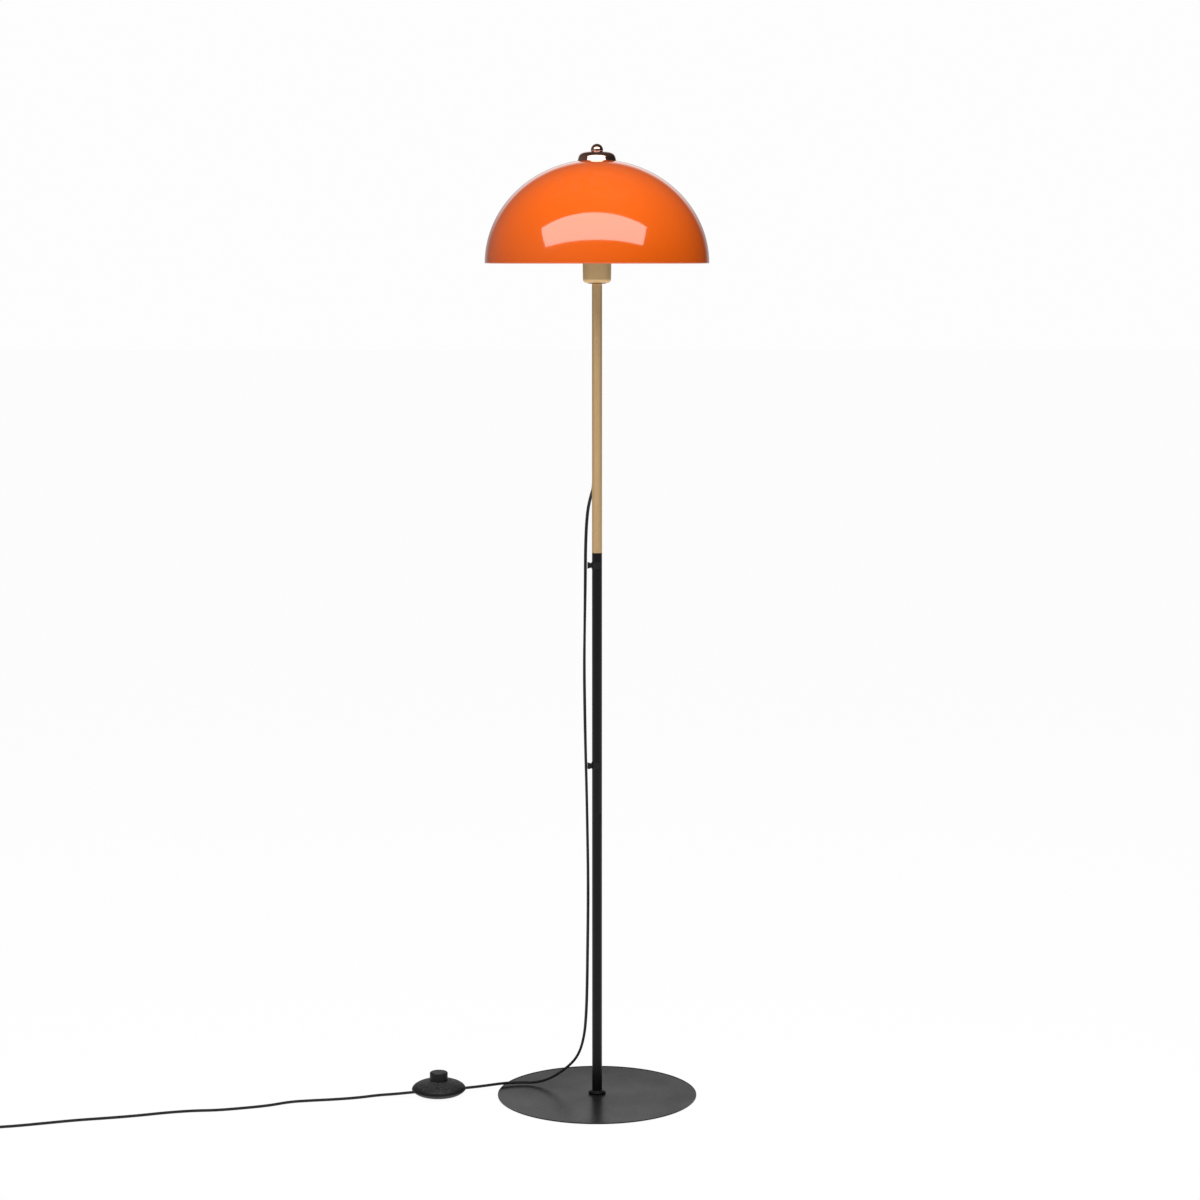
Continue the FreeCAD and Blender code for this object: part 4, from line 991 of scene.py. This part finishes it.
def makeSpringTree():
    sizes = ("Mean Radius", "Wire Radius", "Rise", "Turns")
    tree, given = newTree("coiledSpring", sizes, ("Steps", "Sides"))
    path = addNode(tree, "GeometryNodeCurveSpiral")
    feed(tree, path.inputs["Resolution"], given["Steps"])
    feed(tree, path.inputs["Rotations"], given["Turns"])
    feed(tree, path.inputs["Start Radius"], given["Mean Radius"])
    feed(tree, path.inputs["End Radius"], given["Mean Radius"])
    feed(tree, path.inputs["Height"], given["Rise"])
    section = addNode(tree, "GeometryNodeCurvePrimitiveCircle")
    feed(tree, section.inputs["Resolution"], given["Sides"])
    feed(tree, section.inputs["Radius"], given["Wire Radius"])
    sweep = addNode(tree, "GeometryNodeCurveToMesh")
    feed(tree, sweep.inputs["Curve"], path.outputs["Curve"])
    feed(tree, sweep.inputs["Profile Curve"], section.outputs["Curve"])
    feed(tree, sweep.inputs["Fill Caps"], True)
    endTree(tree, sweep.outputs["Mesh"], finish["spring_steel"])
    return tree


# The spring under the button, built at rest from its foot up; its shortening under the button is not made
# here
def makeSpring():
    s = buttonSpring
    low, high = (corner.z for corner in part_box("switch_spring"))
    wire = s["wire"] / 2 * mm
    piece = addObject("buttonSpring", bpy.data.meshes.new("buttonSpring"))
    mesh = growMesh(
        piece, makeSpringTree(), Mean_Radius=s["diameter"] / 2 * mm - wire, Wire_Radius=wire,
        Rise=high - low - 2 * wire, Turns=float(s["turns"]), Steps=s["stepsPerTurn"], Sides=s["wireSides"])
    foot = Vector((footSwitch["place"].x, footSwitch["place"].y, low))
    turned = Matrix.Rotation(math.radians(footSwitch["turn"]), 4, "Z")
    mesh.transform(Matrix.Translation(foot + up * wire) @ turned)
    sharpenByAngle(mesh, s["crispAngle"])
    standFor(piece, "root", "spring_steel", "switch_spring")
    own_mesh(piece)


makePads()
makeGripRing()
makeSpring()
print("pads, ring and spring ready")


# Floor, backdrop and lights

studio = {
    "groundHalf": 12.0,
    "groundFront": -12.0,
    "groundBack": 40.0,
    "floorLight": 1.035,
    "floorShare": 0.93,         # of the light that shows, the rest shows the shadow
    "floorColour": (0.8, 0.8, 0.8, 1),
    "floorRoughness": 0.9,
    "white": 0.985,
    "diffuse": 0.23,
    "roomLeft": 0.13,
    "roomRight": 0.02,
    "roomTop": 0.07,
    "sideSpan": (-0.7, 0.7),    # these spans are parts of a direction's X, Y or Z
    "topSpan": (0.2, 0.8),
    "behindSpan": (0.86, 0.95),
    "behindRise": (0.12, 0.27),
    "behindLow": 0.35,          # straight behind, level with the eye
    "behindHigh": 0.95,         # straight behind, above it
}
softboxTarget = (0, 0, 1.4)
softboxes = {
    "keySoftbox": {
        "azimuth": -4, "elevation": 41, "distance": 1.7, "size": (3.9, 1.0), "strength": 3.8,
        "roll": 2, "inMirrors": True,
    },
    "overheadSoftbox": {
        "azimuth": 0, "elevation": 88, "distance": 1.6, "size": (1.5, 1.5), "strength": 1.1,
        "roll": 0, "inMirrors": False,
    },
}


def makeFloor():
    material, tree, shader = newMaterial(
        "paleFloor", Base_Color=studio["floorColour"], Roughness=studio["floorRoughness"],
        Specular_IOR_Level=0.0)
    path = addNode(tree, "ShaderNodeLightPath").outputs
    seen = calculate(tree, "MAXIMUM", path["Is Camera Ray"], path["Is Glossy Ray"])
    seen = calculate(tree, "MAXIMUM", seen, path["Is Transmission Ray"])
    mix = addNode(tree, "ShaderNodeMixShader")
    glow = addNode(tree, "ShaderNodeEmission")
    feed(tree, glow.inputs["Strength"], studio["floorLight"])
    feed(tree, mix.inputs[0], calculate(tree, "MULTIPLY", seen, studio["floorShare"]))
    feed(tree, mix.inputs[1], shader.outputs[0])
    feed(tree, mix.inputs[2], glow.outputs[0])
    feed(tree, tree.nodes["Material Output"].inputs["Surface"], mix.outputs[0])
    half, front, back = studio["groundHalf"], studio["groundFront"], studio["groundBack"]
    mesh = bpy.data.meshes.new("studioFloor")
    corners = [(-half, front, 0), (half, front, 0), (half, back, 0), (-half, back, 0)]
    mesh.from_pydata(corners, [], [(0, 1, 2, 3)])
    mesh.materials.append(material)
    addObject("studioFloor", mesh)


# The world is the backdrop: white to the eye. The polished pieces reflect a dim room instead,
# which is lighter straight behind the lamp, and lightest there above the eye.
def makeWorld():
    world = bpy.data.worlds.new("studioWorld")
    world.use_nodes = True
    bpy.context.scene.world = world
    tree = world.node_tree
    path = addNode(tree, "ShaderNodeLightPath").outputs
    split = addNode(tree, "ShaderNodeSeparateXYZ")
    feed(tree, split.inputs[0], addNode(tree, "ShaderNodeTexCoord").outputs["Generated"])
    x, y, z = (split.outputs[axis] for axis in "XYZ")
    sides = spreadOver(tree, x, *studio["sideSpan"], studio["roomLeft"], studio["roomRight"])
    room = mixLevels(tree, spreadOver(tree, z, *studio["topSpan"]), sides, studio["roomTop"])
    behind = spreadOver(tree, y, *studio["behindSpan"])
    panel = spreadOver(tree, z, *studio["behindRise"], studio["behindLow"], studio["behindHigh"])
    reflected = mixLevels(tree, behind, room, panel)
    glossy = mixLevels(tree, path["Is Glossy Ray"], studio["diffuse"], reflected)
    direct = calculate(tree, "MAXIMUM", path["Is Camera Ray"], path["Is Transmission Ray"])
    background = tree.nodes["Background"]
    background.inputs["Color"].default_value = (1, 1, 1, 1)
    feed(tree, background.inputs["Strength"], mixLevels(tree, direct, glossy, studio["white"]))


def addSoftbox(name, azimuth, elevation, distance, size, strength, roll, inMirrors):
    light = bpy.data.lights.new(name, "AREA")
    light.shape = "RECTANGLE"
    light.size, light.size_y = size
    light.energy = strength * size[0] * size[1] * math.pi
    lamp = addObject(name, light)
    a, e = math.radians(azimuth), math.radians(elevation)
    back = Vector((math.sin(a) * math.cos(e), -math.cos(a) * math.cos(e), math.sin(e)))
    lamp.location = Vector(softboxTarget) + back * distance
    lamp.rotation_mode = "QUATERNION"
    aim = (-back).to_track_quat("-Z", "Y")
    lamp.rotation_quaternion = aim @ Quaternion((0, 0, 1), math.radians(roll))
    lamp.visible_camera = False
    lamp.visible_glossy = inMirrors


makeFloor()
makeWorld()
for boxName, boxFacts in softboxes.items():
    addSoftbox(boxName, **boxFacts)
print("studio ready")
